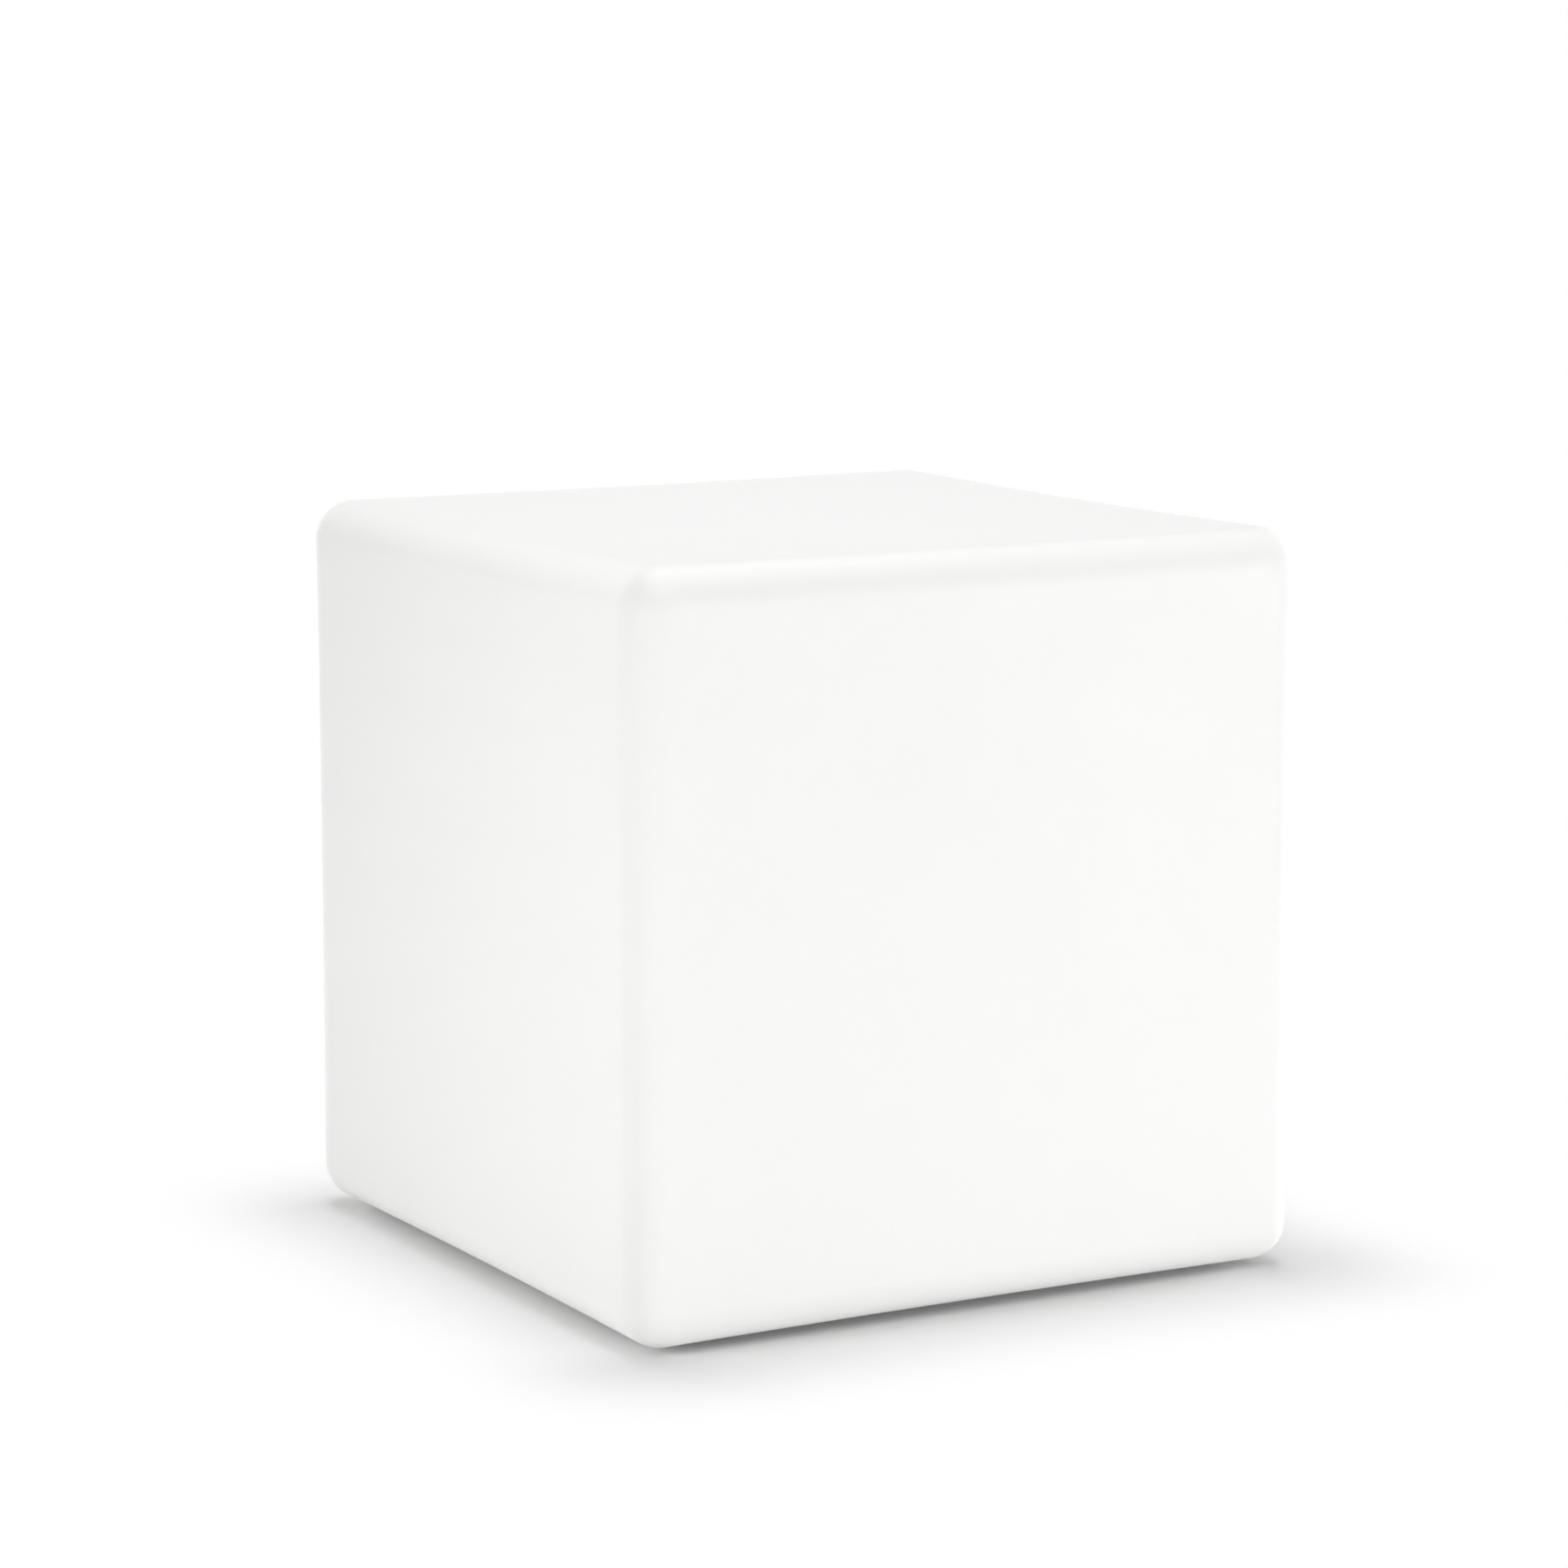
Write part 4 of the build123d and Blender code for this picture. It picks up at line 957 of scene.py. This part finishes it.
def seen_directly(tree):
    """Share, 0 or 1, of a ray that comes from the camera, a reflection or a clear piece."""
    rays = add_node(tree, "LightPath", {}).outputs
    first = {0: rays["Is Camera Ray"], 1: rays["Is Glossy Ray"]}
    shown = add_node(tree, "Math", first, operation="MAXIMUM").outputs[0]
    second = {0: shown, 1: rays["Is Transmission Ray"]}
    return add_node(tree, "Math", second, operation="MAXIMUM").outputs[0]


def studio_paper():
    """Matt white background paper. Away from the lamp it glows plain white to the camera and in reflections,
    and the glow fades in over the outer part of the lamp's shadow, so that part of the shadow is painted
    lighter.

    The way to the lamp is the length of what is left of x and y outside its footprint.
    """
    base = bpy.context.scene.lamp_stage.floor
    material, tree, shader, where = start_finish("matt_white_paper", Roughness=0.9, IOR=1.3)
    fibre = add_node(tree, "TexNoise", cloud(where, 1.5, 3.0)).outputs[0]
    weave = {0: fibre, 6: shade(base, 0.995), 7: shade(base, 1.0)}
    tint = add_node(tree, "Mix", weave, data_type="RGBA")
    feed(shader, {"Base Color": tint.outputs[2]})
    sides = add_node(tree, "VectorMath", {0: where}, operation="ABSOLUTE")
    outside = add_node(tree, "VectorMath", {0: sides.outputs[0], 1: tuple(SHELL_HIGH)}, operation="SUBTRACT")
    beside = add_node(tree, "VectorMath", {0: outside.outputs[0], 1: (0, 0, 0)}, operation="MAXIMUM")
    far = add_node(tree, "VectorMath", {0: beside.outputs[0]}, operation="LENGTH")
    # Painted light: the white glow grows from nothing at the footprint to full at this reach, and lightens
    # the outer part of the lamp's shadow.
    fade = {"Value": far.outputs["Value"], "From Min": 0.0, "From Max": PAINTED_GLOW_REACH}
    away = add_node(tree, "MapRange", fade, interpolation_type="SMOOTHSTEP")
    glow = add_node(tree, "Math", {0: away.outputs[0], 1: seen_directly(tree)}, operation="MULTIPLY")
    white = add_node(tree, "Emission", {"Color": (1.0, 1.0, 1.0, 1.0), "Strength": 1.0})
    mixed = add_node(tree, "MixShader", {0: glow.outputs[0], 1: shader.outputs[0], 2: white.outputs[0]})
    feed(tree.nodes["Material Output"], {"Surface": mixed.outputs[0]})
    return material


class LAMP_OT_stage(bpy.types.Operator):
    """Lay out the paper, the soft lights, the white surroundings and the camera"""

    bl_idname = "lamp.stage"
    bl_label = "Studio"

    def execute(self, context):
        stage = context.scene.lamp_stage
        half = stage.floor_size / 2
        bm = bmesh.new()
        corners = np.array([(-half, -half, 0), (half, -half, 0), (half, half, 0), (-half, half, 0)])
        add_faces(bm, corners, np.array([[0, 1, 2, 3]]))
        mesh = bpy.data.meshes.new("paper")
        bm.to_mesh(mesh)
        bm.free()
        mesh.materials.append(studio_paper())
        paper = bpy.data.objects.new("paper", mesh)
        context.scene.collection.objects.link(paper)
        middle = (0, 0, 0.2)
        for name, (place, size) in LIGHTS.items():
            light = add_soft_light(name, place, middle, size, getattr(stage, name))
            # A low light behind the lamp would lay a bright sheen over its top.
            light.visible_glossy = name != "rear_light"
        self.surround(context.scene, stage)
        self.place_camera(context.scene, stage)
        context.scene.view_settings.view_transform = "Standard"
        return {"FINISHED"}

    def surround(self, scene, stage):
        """White to the camera and in reflections, and a soft even light for everything else."""
        world = bpy.data.worlds.new("white_studio")
        world.use_nodes = True
        tree = world.node_tree
        tree.nodes.clear()
        level = add_node(tree, "MapRange", {"Value": seen_directly(tree), "To Min": stage.sky, "To Max": 1.0})
        back = add_node(tree, "Background", {"Color": (1.0, 1.0, 1.0, 1.0), "Strength": level.outputs[0]})
        add_node(tree, "OutputWorld", {"Surface": back.outputs[0]})
        scene.world = world

    def place_camera(self, scene, stage):
        """Camera at a direction, distance and height, looking a little past the axis and down."""
        camera = bpy.data.cameras.new("camera")
        camera.lens = stage.camera_lens
        camera.sensor_width = 36.0
        holder = bpy.data.objects.new("camera", camera)
        turn = stage.camera_turn
        x, y = math.sin(turn) * stage.camera_distance, -math.cos(turn) * stage.camera_distance
        heading = Matrix.Rotation(turn + stage.camera_yaw, 4, "Z")
        tilt = Matrix.Rotation(math.pi / 2 - stage.camera_pitch, 4, "X")
        holder.matrix_world = Matrix.Translation((x, y, stage.camera_height)) @ heading @ tilt
        scene.collection.objects.link(holder)
        scene.camera = holder


# Panel


STEPS = ("lamp.shell", "lamp.feet", "lamp.marks", "lamp.finishes", "lamp.stage")
GROUPS = {
    "lamp_shell": LampShellSettings,
    "lamp_base": LampBaseSettings,
    "lamp_finish": LampFinishSettings,
    "lamp_stage": LampStageSettings,
}


class LAMP_PT_panel(bpy.types.Panel):
    """The lamp's pieces and their settings"""

    bl_label = "Cube Lamp"
    bl_idname = "LAMP_PT_panel"
    bl_space_type = "VIEW_3D"
    bl_region_type = "UI"
    bl_category = "Cube Lamp"

    def draw(self, context):
        layout = self.layout
        for step in STEPS:
            layout.operator(step)
        for name, group in GROUPS.items():
            box = layout.box()
            for setting in group.__annotations__:
                box.prop(getattr(context.scene, name), setting)


OPERATORS = (LAMP_OT_shell, LAMP_OT_feet, LAMP_OT_marks, LAMP_OT_finishes, LAMP_OT_stage)
CLASSES = (*GROUPS.values(), *OPERATORS, LAMP_PT_panel)


def register():
    """Register the classes and give each scene the settings."""
    for cls in CLASSES:
        bpy.utils.register_class(cls)
    for name, group in GROUPS.items():
        setattr(bpy.types.Scene, name, PointerProperty(type=group))


def unregister():
    """Take the settings and the classes away again."""
    for name in GROUPS:
        delattr(bpy.types.Scene, name)
    for cls in reversed(CLASSES):
        bpy.utils.unregister_class(cls)


def main():
    """Run every step in turn."""
    register()
    for step in STEPS:
        group, name = step.split(".")
        getattr(getattr(bpy.ops, group), name)()


if __name__ == "__main__":
    main()
